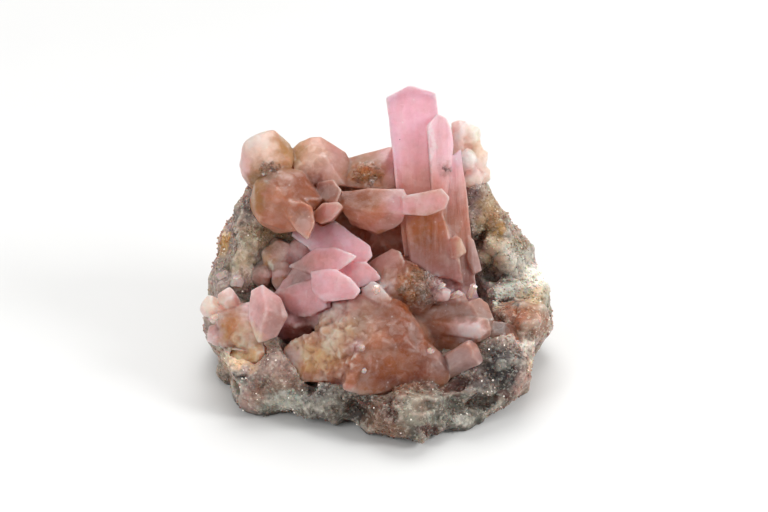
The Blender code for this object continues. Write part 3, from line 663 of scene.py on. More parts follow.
ROCK_TINTS = (
    # upper left
    ("dusk", (-28.4, 38, 6), (2, 2.6, 10), 0.6),
    ("soot", (-28.9, 34.3, 5), (1.4, 1.6, 10), 0.6),
    ("ochre", (-33.6, 27.2, 2), (1.5, 2.6, 10), 0.9),
    ("cream", (-33.8, 29.4, 2), (1.4, 0.7, 8), 0.7),
    ("sand", (-24, 28, 8), (5, 3, 8), 0.7),
    ("tan", (-21.5, 28.6, 8), (3.4, 1.6, 8), 0.5),
    ("sand", (-29.3, 23, 8), (2.3, 3, 10), 0.6),
    ("dusk", (-29.3, 18.9, 9), (2.2, 2.4, 10), 0.7),
    ("ash", (-30.6, 18.6, 9), (0.9, 1.6, 8), 0.5),
    ("lilac_grey", (-34.3, 19.3, 5), (3, 2.4, 10), 0.7),
    ("umber", (-24.5, 20, 9), (2.2, 1.4, 8), 0.6),
    ("clay", (-20, 18.2, 8), (5, 2.4, 8), 0.75),
    # painted shade: near-black in the pit dented here
    ("soot", (-33.4, 16.2, 6), (1, 0.7, 6), 0.9),
    # front left
    # painted shade: the whole lower front darkened
    ("slate", (4, -10, 22), (36, 9, 16), 0.8),
    ("cocoa", (-18.5, -2.6, 20), (6, 2.6, 9), 0.7),
    ("cream", (-30.4, 0.8, 16), (4.6, 1.8, 9), 0.7),
    ("honey", (-28.6, 1, 16), (2.4, 1.4, 9), 0.5),
    ("maroon", (17.6, -1.6, 20), (7, 2.4, 9), 0.6),
    ("chalk", (23.8, 15.6, 8), (3, 2, 9), 0.7),
    # painted shade: near-black in the pit dented here
    ("soot", (-29.4, -2.3, 16), (1.8, 0.8, 8), 0.95),
    ("dusk", (-28.1, -6.6, 16), (2.2, 3, 8), 0.8),
    ("umber", (-25.4, -5.5, 17), (1.6, 1.6, 8), 0.35),
    ("dusk", (-21.8, 0.6, 18), (6, 3, 9), 0.6),
    ("ash", (-17.5, -7.4, 20), (7, 1.9, 9), 0.7),
    ("ash", (-31.4, -5, 15), (2.4, 2.6, 8), 0.6),
    # painted shade: near-black in the cleft dented here
    ("soot", (-13.6, -4.8, 20), (2.6, 2.6, 7), 0.85),
    # painted shade: peat and soot in the hollow dented here
    ("peat", (-4.2, -9, 24), (4.6, 4.4, 9), 0.9),
    ("soot", (-3.6, -8.4, 24), (2.4, 3.4, 9), 0.7),
    ("ash", (-5, -13.2, 26), (4, 1, 9), 0.6),
    # front
    ("cocoa", (1.5, -12.1, 26), (4.4, 5.6, 9), 0.8),
    ("maroon", (2.3, -9.4, 26), (1.4, 2.8, 7), 0.85),
    ("cocoa", (7.6, -3.6, 24), (7, 2.6, 9), 0.95),
    ("russet", (7, -3, 24), (5, 1.6, 9), 0.4),
    ("sage", (8.8, -9.6, 25), (4.4, 3.8, 9), 0.75),
    ("cocoa", (9.8, -8.4, 25), (2.9, 2.2, 7), 0.8),
    ("slate", (15, -9.6, 24), (6, 4, 9), 0.95),
    # painted shadow: this and the next dark strip run along the rock's bottom edge
    ("soot", (12, -14, 25), (6, 1.6, 9), 0.7),
    ("soot", (-12, -10.6, 22), (6, 1.2, 9), 0.5),
    ("ash", (17.4, -11.1, 24), (1.8, 0.8, 7), 0.85),
    ("maroon", (10.5, -13.4, 25), (2.4, 1.2, 7), 0.8),
    ("maroon", (17.3, -3.8, 20), (3, 1.7, 7), 0.9),
    # right
    ("dusk", (26.9, 4.7, 17), (5, 3.4, 9), 0.75),
    ("slate", (24.4, 0.6, 17), (6, 6, 9), 0.6),
    ("lilac_grey", (21.6, -3, 18), (3, 3, 9), 0.5),
    ("soot", (25.6, -1, 17), (4, 4, 9), 1),
    ("soot", (26, -0.4, 17), (4.4, 4.4, 9), 1),
    ("maroon", (26.8, -5.9, 17), (2.8, 0.9, 8), 0.7),
    ("maroon", (15, -3.4, 20), (5.4, 2.4, 8), 0.75),
    ("soot", (20, -4.4, 19), (3, 1.6, 8), 0.6),
    # painted shade: soot round the pit dented here, and slate inside it
    ("soot", (21.5, -7.4, 20), (3, 1.7, 7), 0.9),
    ("slate", (21, -7.6, 20), (1.3, 0.8, 7), 0.8),
    ("dusk", (30.7, -3.6, 15), (2.4, 3.4, 8), 0.7),
    ("chalk", (31.4, 4.9, 12), (1.4, 2, 6), 0.85),
    ("cream", (31.8, 0.4, 12), (1, 1.6, 6), 0.8),
    ("lilac_grey", (21.2, 34.5, 5), (1.3, 3.6, 9), 0.85),
    ("tan", (24.4, 33, 5), (2.8, 5, 10), 0.9),
    ("moss", (23.6, 29.8, 5), (2.4, 1.6, 9), 0.8),
    ("ochre", (26.6, 29.8, 3), (1.7, 1, 9), 0.75),
    ("sand", (25.4, 24.6, 5), (3.6, 3.6, 9), 0.8),
    # painted shade: peat in the two crevices dented here
    ("peat", (22, 27.4, 5), (1, 2, 8), 0.8),
    ("peat", (23.6, 21.6, 6), (2.4, 0.8, 8), 0.7),
    ("ash", (23, 18.6, 6), (2.4, 2, 8), 0.5),
    ("ash", (29.8, 24.8, 2), (3.6, 2.8, 9), 0.75),
    ("moss", (31.2, 27.2, 0), (3, 1, 9), 0.7),
    # painted light: near white where the right ledge is brightly lit
    ("chalk", (35, 19.8, 0), (3.8, 3.6, 9), 0.95),
    ("ash", (27.6, 17.7, 7), (5.6, 3, 9), 0.85),
    ("cream", (25.2, 12.9, 9), (3.4, 0.7, 8), 0.6),
    ("cocoa", (30.6, 10.2, 9), (6.4, 4.2, 9), 1),
    ("umber", (30, 10.4, 9), (5, 3.4, 9), 0.85),
    # painted light: lightens the rock that lies in shade under the dome
    ("ash", (-21.6, 26.8, 8), (3, 1.6, 8), 0.6),
    ("sand", (34.4, 15.6, 6), (3.6, 1.8, 8), 0.8),
    ("tan", (33, 12.4, 9), (4, 2, 9), 0.3),
    ("peat", (26.2, 9, 10), (2.4, 3, 8), 0.8),
    ("cocoa", (32.7, 7.8, 9), (3.8, 2, 8), 0.7),
    ("sage", (36.4, 14.5, 4), (1.2, 4, 8), 0.8),
    # painted shade: soot in the crevice dented here
    ("soot", (27.4, 14.1, 8), (3.2, 0.4, 6), 0.95),
)

# Dents and bulges of the rock: centre and radii on the show side, and how deep it goes.
ROCK_DENTS = (
    ((-29.4, -2.3, 16), (1.8, 0.8, 5), 1),
    ((-14.3, -4, 20), (1.3, 2.2, 6), 1.2),
    ((-4.2, -8.8, 25), (3.2, 3.2, 7), 0.6),
    ((2.3, -9.4, 26), (0.9, 2.2, 6), 0.8),
    ((9.6, -7.5, 25), (2.4, 1.5, 6), 0.9),
    ((10.5, -13.4, 25), (2.2, 1.1, 5), 0.8),
    ((21.5, -7.4, 20), (2.8, 1.6, 6), 1.1),
    ((17.3, -3.8, 20), (2.8, 1.6, 6), 1),
    ((22, 27.4, 5), (1, 2, 6), 1),
    ((23.6, 21.6, 6), (2.4, 0.8, 6), 0.5),
    ((23, 18, 6), (2.6, 2.4, 6), -1.2),
    ((25, 24.6, 5), (4, 4.4, 8), -2.4),
    ((25.6, 8.4, 12), (1.2, 2.4, 8), 0.8),
    ((-33.4, 16.2, 6), (0.9, 0.7, 5), 0.8),
    ((27.4, 14.1, 8), (3.2, 0.45, 6), 1.1),
    ((-30.7, 29.4, 6), (1.4, 0.4, 5), 0.6),
    ((-29.3, 21.6, 8), (2.3, 4.6, 6), -1.1),
    ((26.5, 3, 17), (5, 4.6, 8), -0.7),
    ((26.4, 17.7, 7), (6, 2.4, 7), -1.4),
    ((31.4, 10.6, 9), (5, 4, 8), -0.7),
    ((-17.5, -7.4, 20), (7, 1.9, 7), -0.6),
)

# Whole corners that are moved: centre, radii, and the move on the show side.
SHIFTED = {
    "matrix": (
        ((8.6, -2.6, 24), (8, 3.4, 9), (0, 0, -2.4)),
        ((-34.5, -4, 8), (5, 9, 16), (0.8, 0, 0)),
        ((-32, 35, 2), (4, 4, 14), (0.8, 0, 0)),
        ((37, 1, 10), (4, 8, 14), (-1.6, 0, 0)),
        ((-13.5, -11.5, 17.5), (5, 3.5, 6), (0, -1.2, 1.7)),
        ((15.5, -13, 19.5), (4.5, 3.5, 6), (0, -1.2, 1.7)),
    ),
    "front_crystals": (
        ((9.6, -0.4, 22), (4, 4.4, 8), (2.6, -0.8, 0)),
        ((-4.4, -3.4, 22), (3, 3, 8), (-1.4, -1, 0)),
        ((-4.8, -0.6, 22), (1.6, 3.6, 8), (0, 0, 0.8)),
    ),
}

# Where the rock is worn smooth and bare of druse.
ROCK_SMOOTH = (
    ((31.4, 11, 9), (5.4, 4.4, 8)),
    ((-29.3, 22.4, 8), (2.4, 4, 8)),
    ((8.8, -8.6, 25), (4.4, 4, 8)),
)

# Where a group is broken into blocks: size and depth of the blocks, in millimetres, and the
# places, as centre and radii on the show side.
BROKEN = {
    "tall_spires": (
        (2.4, 0.9, (((13, 17, 14), (7, 3.6, 6)),)),
        (1.2, 0.7, (((14.4, 42.2, 19), (1.1, 1.4, 2)), ((12, 16, 14), (7, 4, 6)))),
    ),
    "pale_crystals": ((2.2, 0.8, (((21, 44, 9), (5, 9, 8)),)),),
    "back_left_crystals": (
        (4.6, 0.6, (((-25, 45, 13), (7, 7.5, 9)),)),
        (1.5, 1, (((-23.4, 42.6, 15), (2.4, 1.8, 6)),)),
        (2.2, 0.8, (((-14.6, 44, 13.5), (3.8, 5, 5)),)),
        (1.3, 1.1, (((-2.4, 41.4, 13.5), (4, 3, 5)),)),
        (4.4, 0.7, (((-20, 35, 17), (9, 8, 9)),)),
        (3, 1, (((1, 27, 6), (9, 6.5, 8)), ((-6, 31, 8), (5, 4, 8)))),
    ),
    "pink_blades": (
        (3.2, 0.4, (((-10, 18, 16), (16, 18, 16)),)),
        (1.6, 0.4, (((-21, 20, 12), (4, 4, 8)), ((-14, 10, 16), (7, 4, 8)))),
    ),
    "front_crystals": (
        (4, 2.2, (((-9, 4, 21), (11, 9, 9)),)),
        (2, 1.3, (((-9, 5, 21), (9, 8, 9)), ((8, 16.8, 19), (5.6, 5.2, 6)))),
        (3.8, 1, (((6, 4, 21), (9, 10, 9)),)),
        (1.1, 0.7, (((8.6, 17, 19), (4.6, 4.6, 6)), ((-7, -4.4, 20), (4, 2.6, 6)))),
    ),
    "left_edge_crystals": (
        (2.6, 1, (((-31, 4, 16), (5.6, 6, 8)),)),
        (1.4, 0.5, (((-31, 5, 16), (5.6, 7, 8)),)),
    ),
}

# Where a group's faces have melted together: how much, and centre and radii on the show side.
MELTED = {
    "tall_spires": ((8, (((13, 20, 15), (9, 9, 9)),)),),
    "pale_crystals": ((6, (((21, 44, 9), (6, 11, 9)),)),),
    "back_left_crystals": (
        (120, (((-25.6, 46.6, 13), (6.6, 6, 9)),)),
        (160, (((-21, 37, 18), (6.4, 6, 8)),)),
        (8, (((-6, 38, 14), (20, 14, 16)),)),
    ),
    "pink_blades": ((3, (((-10, 18, 16), (16, 18, 16)),)),),
    "front_crystals": (
        (40, (((-9, 3, 21), (10, 12, 9)), ((7.6, 17, 17), (6, 5.4, 7)))),
        (160, (((5, 3, 21), (10, 10, 9)),)),
        (6, (((16, 8, 20), (14, 12, 9)),)),
    ),
    "left_edge_crystals": (
        (40, (((-31, 4, 16), (5, 5, 8)),)),
        (4, (((-27, 10, 18), (14, 10, 12)),)),
    ),
}

# Where tiny crystals cover a group: centre and radii on the show side.
DRUSY = {
    "tall_spires": (((14.4, 42.2, 19), (0.9, 1, 2)),),
    "pale_crystals": (((21.5, 38, 8), (2, 2, 4)),),
    "back_left_crystals": (
        ((-23.4, 42.6, 15), (2, 1.2, 5)),
        ((-2.4, 41.2, 13.5), (3, 2.2, 4)),
    ),
    "front_crystals": (((8.6, 16.8, 19), (4.4, 4, 6)),),
}

# How the finishes take light, apart from what varies over them.
MILKY = {
    "Subsurface Weight": 1,
    "Subsurface Radius": (1, 0.62, 0.52),
    "Subsurface Scale": 5 * MM,
    "IOR": 1.5,
    "Specular IOR Level": 0.35,
}
THIN = {"Subsurface Weight": 0.6, "Subsurface Scale": 1.2 * MM}
SUGARY = {**THIN, "IOR": 1.5, "Specular IOR Level": 0.4}
CLEAR = {**THIN, "IOR": 1.55, "Transmission Weight": 0.55}
GLOWING_GLINTS = {"Transmission Weight": 0.2, "IOR": 1.6, "Emission Strength": 0.25}


def calcite(name, body, tints, growth, clearness):
    """Milky calcite: a body colour with patches, cloudy veils inside, satin faces, painted
    highlight on crests and painted shade in hollows.
    """
    finish = Finish(name, colour(body), {**MILKY, "Transmission Weight": clearness})
    spot = finish.spot
    grown = finish.vector("MULTIPLY", spot, [1 / size for size in growth])
    finish.tint(finish.bent(2, 2.2), tints)
    veil = finish.between(finish.noise(spot, 3, detail=5, bend=0.6), 0.5, 0.72)
    finish.lay("frost", 0.18, veil)
    finish.lay("umber", 0.16, finish.noise(spot, 1.7, detail=6), 0.52, 0.3)
    flecks = finish.noise(spot, 0.7, detail=6, rough=0.7)
    finish.lay("frost", 0.08, flecks, 0.5, 0.7)
    finish.lay("umber", 0.06, flecks, 0.5, 0.34)
    finish.lay("frost", 0.1, finish.noise(grown, 0.9), 0.5, 0.68)
    blocks = finish.lots(finish.bent(3, 0.8), 3.2)
    finish.lay("frost", 0.12, blocks, 0.6, 1)
    finish.lay("umber", 0.12, blocks, 0.4, 0)
    specks = finish.between(finish.cells(spot, 1.3), 0.2, 0.12)
    finish.lay("frost", 0.5, specks * finish.between(veil, 0.3, 0.6))
    # Painted highlight: frost on the crests that the noise named worn picks out; painted shade:
    # russet in the hollows.
    crest = finish.attribute("crest")
    worn = finish.between(finish.noise(spot, 3, detail=2), 0.38, 0.62)
    finish.lay("frost", 0.4, crest * worn)
    finish.lay("russet", 0.35, finish.attribute("hollow"))
    patchy = finish.noise(spot, 2.6, detail=4)
    steps = finish.noise(grown, 0.8, detail=5, rough=0.6)
    ledges = finish.cells(grown, 1.6, "CHEBYCHEV")
    return finish.done(patchy * 0.3 + 0.21 + crest * 0.1, steps + ledges * 0.5, 0.25, 0.6)


def rock(name):
    """The host rock: mauve, sage and tan ground, painted shade in hollows and at the foot, painted
    highlight on crests, and a sugary skin.
    """
    finish = Finish(name, colour("stone"), SUGARY)
    spot = finish.spot
    finish.lay("lilac_grey", 1, finish.noise(spot, 8), 0.4, 0.62)
    finish.lay("sage", 0.7, finish.noise(spot, 5, bend=0.8), 0.5, 0.66)
    finish.lay("umber", 0.5, finish.noise(spot, 4, detail=5, bend=1.2), 0.58, 0.7)
    finish.lay("peat", 0.6, finish.noise(spot, 3.2, detail=4, bend=0.6), 0.56, 0.68)
    finish.tint(finish.bent(2, 3.2), ROCK_TINTS)
    mottle = finish.noise(spot, 1.2, detail=6, rough=0.7)
    finish.lay("peat", 0.5, mottle, 0.5, 0.3)
    finish.lay("chalk", 0.25, mottle, 0.56, 0.76)
    grains = finish.lots(spot, 0.5)
    finish.lay("chalk", 0.25, grains, 0.7, 1)
    finish.lay("soot", 0.25, grains, 0.3, 0)
    finish.lay("soot", 0.5, finish.cells(spot, 2.2), 0.16, 0.08)
    # Painted light: chalk highlight on crests, peat shade in hollows, soot shade at the foot by the
    # floor.
    finish.lay("chalk", 0.2, finish.attribute("crest"))
    finish.lay("peat", 0.6, finish.attribute("hollow"))
    finish.lay("soot", 0.8, finish.attribute("foot"))
    fine = finish.noise(spot, 0.6, detail=6, rough=0.7)
    return finish.done(mottle * 0.4 + 0.3, fine, 0.3, 0.6)


def glitter_finish():
    """Tiny bright faces of the druse, near white and glowing a little in their own colour: painted
    glints.
    """
    finish = Finish("druse_glitter", colour("chalk"), GLOWING_GLINTS)
    cloud = finish.noise(finish.spot, 0.8, detail=2)
    finish.lay("frost", 1, cloud)
    # painted glints: the grains glow in their own near-white colour
    finish.give("Emission Color", finish.base)
    return finish.done(cloud * 0.2 + 0.04)


def clear_calcite():
    """The small clear crystals: nearly colourless, with faint pink and white veils."""
    finish = Finish("clear_calcite", colour("peach"), CLEAR)
    spot = finish.spot
    finish.lay("frost", 1, finish.noise(spot, 1.2, detail=4), 0.4, 0.65)
    finish.lay("blush", 0.6, finish.noise(spot, 4), 0.45, 0.6)
    return finish.done(finish.noise(spot, 0.9) * 0.3 + 0.05, finish.noise(spot, 0.6), 0.1, 0.4)


def floor_paper():
    dark, light = PAPER_GREYS
    finish = Finish("white_paper", dark)
    finish.base = finish.mix(dark, light, finish.noise(finish.spot, 60, detail=2))
    return finish.done(0.9)


# ===== Pieces =====


def settle(name, mesh, material, node=None):
    """Makes a finished piece of a mesh and ties it to the frame."""
    mesh.name = name
    mesh.materials.clear()
    mesh.materials.append(material)
    thing = add_object(name, mesh)
    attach(thing, "root")
    if node:
        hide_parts(node)


def host_rock():
    """The rock: the solid remade as a fine mesh, with blocks, chips, dents and a drawn-in foot."""
    mesh = remade(merged_copy("matrix"), ROCK_VOXEL, rounds=2)
    shift(mesh, "matrix")
    spots = spots_of(mesh)
    chipped = clouded(spots, size=6, seed=6, middle=0.5, swing=1.3, low=0.15)
    relief = BLOCK_DEPTH * blocky(spots, BLOCK_SIZE, seed=5.3)
    relief += chipped * CHIP_DEPTH * blocky(spots, CHIP_SIZE, seed=8.1)
    relief += SWELL_DEPTH * cloudy(spots, SWELL_SIZE, seed=5)
    relief += GRIT_DEPTH * cloudy(spots, GRIT_SIZE, seed=3)
    rugged = 1 - in_patches(spots, ROCK_SMOOTH)
    relief *= SMOOTH_SHARE + (1 - SMOOTH_SHARE) * rugged
    ragged = strayed(spots, DENT_STRAY, DENT_REACH)
    for centre, radii, depth in ROCK_DENTS:
        relief -= depth * in_patches(ragged, ((centre, radii),))
    push(mesh, relief)
    points = points_of(mesh)
    points[:, 2] = np.maximum(points[:, 2], 0)
    foot = np.clip(1 - points[:, 2] / (UNDERCUT_HEIGHT * MM), 0, 1)
    share = clouded(spots, size=9, seed=17, middle=0.7, swing=1.4, low=0, high=1.4)
    middle = (points[:, :2].min(axis=0) + points[:, :2].max(axis=0)) / 2
    away = points[:, :2] - middle
    away /= np.maximum(np.linalg.norm(away, axis=1), UNDERCUT_FROM * MM)[:, None]
    points[:, :2] -= away * (UNDERCUT_DEPTH * MM * share * foot**UNDERCUT_CURVE)[:, None]
    set_points(mesh, points)
    # the foot layer also gives the painted shade where the rock meets the floor
    store(mesh, "foot", foot)
    store_crest_light_and_hollow_shade(mesh, ROCK_SHADING_REACH)
    facing = normals_of(mesh) @ np.array(place(0, 0, 1 / MM))
    bare = rugged * (points[:, 2] > BARE_FOOT * MM)
    sugar = clouded(spots, size=5, seed=3, middle=0.45, swing=1.4, low=0.05)
    sparks = clouded(spots, size=3.4, seed=12, middle=-0.7, swing=4, low=0.03)
    sugar *= np.clip(SIDE_DRUSE + facing, LEAST_DRUSE, 1)
    store(mesh, "druse", sugar * bare)
    store(mesh, "glitter", sparks * bare)
    smooth(mesh)
    return mesh


def crystal_group(node, growth, growth_depth):
    """A group of crystals: the solid with softened edges, growth lines and broken places."""
    mesh = remade(merged_copy(node), CRYSTAL_VOXEL, rounds=1)
    shift(mesh, node)
    for rounds, patches in MELTED[node]:
        melt(mesh, patches, rounds)
    spots = spots_of(mesh)
    amounts = CLOSE_SEAM + SWELL * cloudy(spots, size=4, seed=4)
    amounts += growth_depth * cloudy(spots / growth, size=1, seed=7)
    for size, depth, patches in BROKEN[node]:
        inside = in_patches(spots, patches)
        amounts += depth * inside * blocky(spots, size, seed=3.3 + size, inside=inside)
    push(mesh, amounts)
    store_crest_light_and_hollow_shade(mesh, CRYSTAL_SHADING_REACH)
    store(mesh, "druse", in_patches(spots, DRUSY.get(node, ())))
    smooth(mesh)
    return mesh


DRUSE_SIZES = ("Spacing", "Density", "Grain width", "Grain length", "Smallest", "Largest", "Lean")
DRUSE_KINDS = {"Geometry": "Geometry", **dict.fromkeys(DRUSE_SIZES, "Float")}
DRUSE_KINDS.update({"Seed": "Int", "Layer": "String", "Finish": "Material"})


def druse_tree():
    """Geometry Nodes that grow small blunt crystals on a mesh, as dense as a layer of it says."""
    tree = bpy.data.node_groups.new("Druse", "GeometryNodeTree")
    for name, kind in DRUSE_KINDS.items():
        tree.interface.new_socket(name, in_out="INPUT", socket_type="NodeSocket" + kind)
    tree.interface.new_socket("Geometry", in_out="OUTPUT", socket_type="NodeSocketGeometry")

    node = Graph(tree).node
    given = node("NodeGroupInput")
    layer = {"Name": given["Layer"]}
    density = node("GeometryNodeInputNamedAttribute", layer, data_type="FLOAT")
    points = node(
        "GeometryNodeDistributePointsOnFaces",
        {
            "Mesh": given["Geometry"],
            "Distance Min": given["Spacing"],
            "Density Max": given["Density"],
            "Density Factor": density["Attribute"],
            "Seed": given["Seed"],
        },
        distribute_method="POISSON",
    )
    cube = node("GeometryNodeMeshCube", {"Size": (1, 1, 1)})
    grain = node("GeometryNodeSetShadeSmooth", {"Geometry": cube["Mesh"], "Shade Smooth": False})
    normal = {"Vector": points["Normal"]}
    upright = node("FunctionNodeAlignRotationToVector", normal, axis="Z")
    turns = {"Min": (-1, -1, -3.1), "Max": (1, 1, 3.1), "Seed": given["Seed"]}
    turn = node("FunctionNodeRandomValue", turns, data_type="FLOAT_VECTOR")
    lean = {0: turn["Value"], "Scale": given["Lean"]}
    lean = node("ShaderNodeVectorMath", lean, operation="SCALE")
    tilt = node("FunctionNodeEulerToRotation", {0: lean[0]})
    stance = {"Rotation": upright[0], "Rotate By": tilt[0]}
    stance = node("FunctionNodeRotateRotation", stance, rotation_space="LOCAL")
    sizes = {2: given["Smallest"], 3: given["Largest"], "Seed": given["Seed"]}
    size = node("FunctionNodeRandomValue", sizes, data_type="FLOAT")
    width, length = given["Grain width"], given["Grain length"]
    span = node("ShaderNodeCombineXYZ", {"X": width, "Y": width, "Z": length})
    scale = node("ShaderNodeVectorMath", {0: span[0], "Scale": size[1]}, operation="SCALE")
    grown = {"Points": points["Points"], "Instance": grain[0]}
    grown.update({"Rotation": stance[0], "Scale": scale[0]})
    grown = node("GeometryNodeInstanceOnPoints", grown)
    real = node("GeometryNodeRealizeInstances", {"Geometry": grown[0]})
    coat = {"Geometry": real[0], "Material": given["Finish"]}
    node("NodeGroupOutput", {"Geometry": node("GeometryNodeSetMaterial", coat)[0]})
    return tree


def grow_druse(tree, ground, **given):
    """The grains that the druse tree grows on a mesh, as a plain mesh."""
    thing = add_object("ground", ground)
    change = thing.modifiers.new("Druse", "NODES")
    change.node_group = tree
    for socket in tree.interface.items_tree:
        if socket.in_out == "INPUT" and socket.name in given:
            change[socket.identifier] = given[socket.name]
    return finished(thing)


# Small clear crystals: root, tip, width, thickness.
SMALL_CRYSTALS = (
    ((-31, 22, 3), (-34.6, 18.8, 8), 3.4, 3),
    ((-30, 22, 5), (-30.8, 17.4, 10.6), 3.6, 3),
    ((-0.6, 15.6, 20), (-0.6, 16.6, 24.4), 1.9, 1.7),
    ((9, 2, 20), (11.2, 3.6, 23.4), 1.8, 1.5),
    ((-4, 1, 22), (-3, -1, 26.4), 1.3, 1),
    ((-3.4, 3, 23), (-3.6, 4.4, 26.8), 1.4, 1),
    ((12.6, 15, 17), (13.6, 17.6, 20.4), 1.8, 1.2),
    ((15, 14, 17), (17.4, 15.8, 19.8), 2, 1.4),
    ((18.6, 14, 15), (20.4, 17.6, 17.4), 1.8, 1.4),
    ((-34.4, 11, 15), (-36, 9.8, 17), 1.8, 1.5),
    ((-21.4, 43, 12), (-23.4, 41.6, 17), 1.2, 1.1),
    ((-22.6, 43, 13), (-24.8, 40.8, 17), 1.2, 1),
)

# Crystals worn round: root, tip, width, thickness.
WORN_CRYSTALS = (
    ((-22.6, 24.6, 3), (-21.2, 23.2, 11.4), 8.6, 8),
    ((-25, 24, 4), (-25.6, 18.6, 10.6), 5, 4),
    ((-16, 27, 2), (-16.8, 24.6, 11.4), 8, 6),
    ((-20, 21, 2), (-20.4, 18.4, 11.6), 9, 5.4),
)
WORN_TINTS = (
    ("tawny", (-18.4, 18.6, 10), (6, 3, 6), 0.7),
    ("mauve", (-15.6, 24.4, 10), (3, 5, 6), 0.8),
    ("tan", (-22.4, 24.6, 10), (2.6, 2.6, 4), 0.6),
    ("ochre", (-23.4, 23, 11), (1.1, 1.4, 3), 0.8),
    # painted highlight: a white glint
    ("chalk", (-22.9, 21.9, 11), (0.6, 0.8, 3), 0.8),
    ("blush", (-18.6, 21.6, 10), (1.4, 3, 4), 0.6),
    # painted highlight: the bright lower rim
    ("blush", (-21.4, 19.8, 10), (3.6, 0.8, 4), 0.7),
    ("blush", (-20.4, 24, 11), (2.4, 2.4, 4), 0.4),
)

CRYSTAL_GROUPS = {
    # node: (body colour, tints, record slot, growth lines' stretch (mm) and depth, clearness)
    "tall_spires": ("rose", SPIRE_TINTS, "pink_calcite", (1.1, 9, 1.1), 0.08, 0.5),
    "pale_crystals": ("peach", PALE_TINTS, "pale_calcite", (1.4, 2.4, 1.4), 0.16, 0.3),
    "back_left_crystals": ("tawny", BACK_LEFT_TINTS, "orange_calcite", (2.4, 2, 2.4), 0.06, 0.45),
    "pink_blades": ("petal", BLADE_TINTS, "pink_calcite", (4, 1.6, 2), 0.06, 0.3),
    "front_crystals": ("clay", FRONT_TINTS, "orange_calcite", (2, 2, 2), 0.12, 0.4),
    "left_edge_crystals": ("blush", LEFT_EDGE_TINTS, "pale_calcite", (1.6, 1.6, 1.6), 0.14, 0.35),
}


def worn_crystals():
    shape = bmesh.new()
    for n, (root, tip, wide, thick) in enumerate(WORN_CRYSTALS):
        prism(shape, root, tip, wide, thick, slope=24, turn=25 + 30 * n, spin=50)
    mesh = remade(mesh_from(shape, "worn_crystals"), CRYSTAL_VOXEL, rounds=16)
    spots = spots_of(mesh)
    amounts = WORN_GROWTH + WORN_SWELL * cloudy(spots, size=3, seed=9)
    push(mesh, amounts + WORN_GRAIN * cloudy(spots, size=1, seed=5))
    store_crest_light_and_hollow_shade(mesh, CRYSTAL_SHADING_REACH)
    smooth(mesh)
    return mesh


def small_crystals():
    shape = bmesh.new()
    dice = random.Random(5)
    for root, tip, wide, thick in SMALL_CRYSTALS:
        slope, turn, spin = dice.uniform(34, 46), dice.uniform(0, 60), dice.uniform(0, 120)
        prism(shape, root, tip, wide, thick, slope, turn, spin)
    return mesh_from(shape, "small_crystals")


def grain_sizes(spacing, density, wide, tall, seed, layer="druse"):
    """Sizes of a druse in millimetres, and the most grains on a square one, for its tree."""
    return {
        "Spacing": spacing * MM,
        "Density": density * 1e6,
        "Grain width": wide * MM,
        "Grain length": tall * MM,
        "Smallest": 0.5,
        "Largest": 1.3,
        "Lean": 0.7,
        "Seed": seed,
        "Layer": layer,
    }


def settle_druse(name, tree, ground, material, sizes, shade=0.3):
    """Grows grains on a finished mesh, as dense as one of its layers says, and makes a piece."""
    mesh = grow_druse(tree, ground, Finish=material, **sizes)
    # every grain gets the same painted highlight as "crest" and the same painted shade as "hollow"
    store(mesh, "crest", np.full(len(mesh.vertices), GRAIN_HIGHLIGHT - shade))
    store(mesh, "hollow", np.full(len(mesh.vertices), shade))
    settle(name, mesh, material)


def build_rock(tree):
    mesh = host_rock()
    finish = rock("host_rock")
    settle("drusy_host_rock", mesh, finish, "matrix")
    crust = grain_sizes(spacing=0.42, density=4, wide=0.34, tall=0.46, seed=3)
    settle_druse("rock_druse", tree, mesh, finish, crust)
    glitter = grain_sizes(spacing=0.7, density=0.24, wide=0.22, tall=0.34, seed=9, layer="glitter")
    settle_druse("rock_glitter", tree, mesh, glitter_finish(), glitter)


def build_crystals(tree):
    grit = grain_sizes(spacing=0.32, density=6, wide=0.34, tall=0.5, seed=8)
    for node, (body, tints, slot, growth, depth, clearness) in CRYSTAL_GROUPS.items():
        finish = calcite(node + "_calcite", body, tints, growth, clearness)
        mesh = crystal_group(node, growth, depth)
        settle(node + "_grown", mesh, finish, node)
        if node in DRUSY:
            settle_druse(node + "_druse", tree, mesh, finish, grit, shade=0.0)
    settle("small_clear_crystals", small_crystals(), clear_calcite())
    worn = calcite("worn_calcite", "dusk", WORN_TINTS, growth=(1, 1, 1), clearness=0.35)
    settle("worn_crystals", worn_crystals(), worn)


# ===== Studio =====

CAMERA_PLACE = place(0, 0, 516)
CAMERA_AIM = place(1.1, 24.4, 0)
LENS = 110
SENSOR = 36

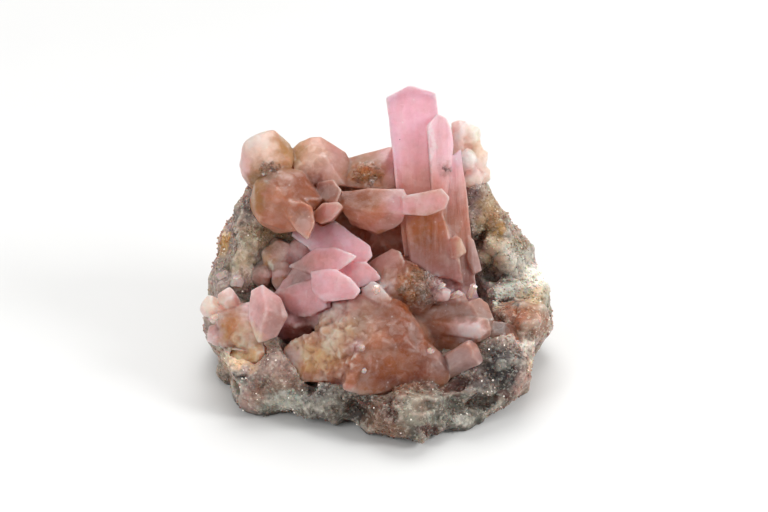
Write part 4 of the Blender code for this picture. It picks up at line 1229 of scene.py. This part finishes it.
# Lights, in metres and watts
SOFTBOXES = (
    # name, place, width, power
    ("right_light", (0.45, -0.12, 0.32), 0.22, 1.7),
    ("left_light", (-0.4, -0.3, 0.35), 0.3, 0.95),
)
SOFTBOX_AIM = (0, 0, 0.02)
SKY_TOWARDS = (-0.02, 0.75, 1.0)
SKY_SPREAD = math.radians(40)
SKY_STRENGTH = 2.3
ROOM_STRENGTH = 0.53

FLOOR_HALF = 3
PAPER_GREYS = ((0.69, 0.69, 0.685, 1), (0.72, 0.72, 0.71, 1))


def add_turned(name, data, from_place, aim, axis="-Z"):
    """Adds an object at a place, with one of its axes turned to an aim."""
    thing = add_object(name, data)
    thing.location = from_place
    towards = Vector(aim) - Vector(from_place)
    thing.rotation_euler = towards.to_track_quat(axis, "Y").to_euler()
    return thing


def add_camera():
    lens = bpy.data.cameras.new("camera")
    lens.lens = LENS
    lens.sensor_width = SENSOR
    lens.clip_start = 0.01
    bpy.context.scene.camera = add_turned("camera", lens, CAMERA_PLACE, CAMERA_AIM)


def add_lights():
    """A softbox at each side, and broad light that falls alike on the floor and the specimen."""
    for name, from_place, width, power in SOFTBOXES:
        lamp = bpy.data.lights.new(name, "AREA")
        lamp.shape = "DISK"
        lamp.size = width
        lamp.energy = power
        add_turned(name, lamp, from_place, SOFTBOX_AIM)
    lamp = bpy.data.lights.new("top_light", "SUN")
    lamp.energy = SKY_STRENGTH
    lamp.angle = SKY_SPREAD
    add_turned("top_light", lamp, (0, 0, 0), SKY_TOWARDS, "Z")


def add_room():
    """The paper floor and the white room around it."""
    sheet = bmesh.new()
    bmesh.ops.create_grid(sheet, x_segments=1, y_segments=1, size=FLOOR_HALF)
    mesh = mesh_from(sheet, "floor")
    mesh.materials.append(floor_paper())
    floor = add_object("floor", mesh)
    world = bpy.data.worlds.new("white_room")
    bpy.context.scene.world = world
    world.use_nodes = True
    sky = world.node_tree.nodes["Background"]
    sky.inputs["Color"].default_value = (1, 1, 1, 1)
    sky.inputs["Strength"].default_value = ROOM_STRENGTH
    bpy.context.scene.view_settings.view_transform = "Standard"


druse = druse_tree()
build_rock(druse)
build_crystals(druse)
add_room()
add_lights()
add_camera()
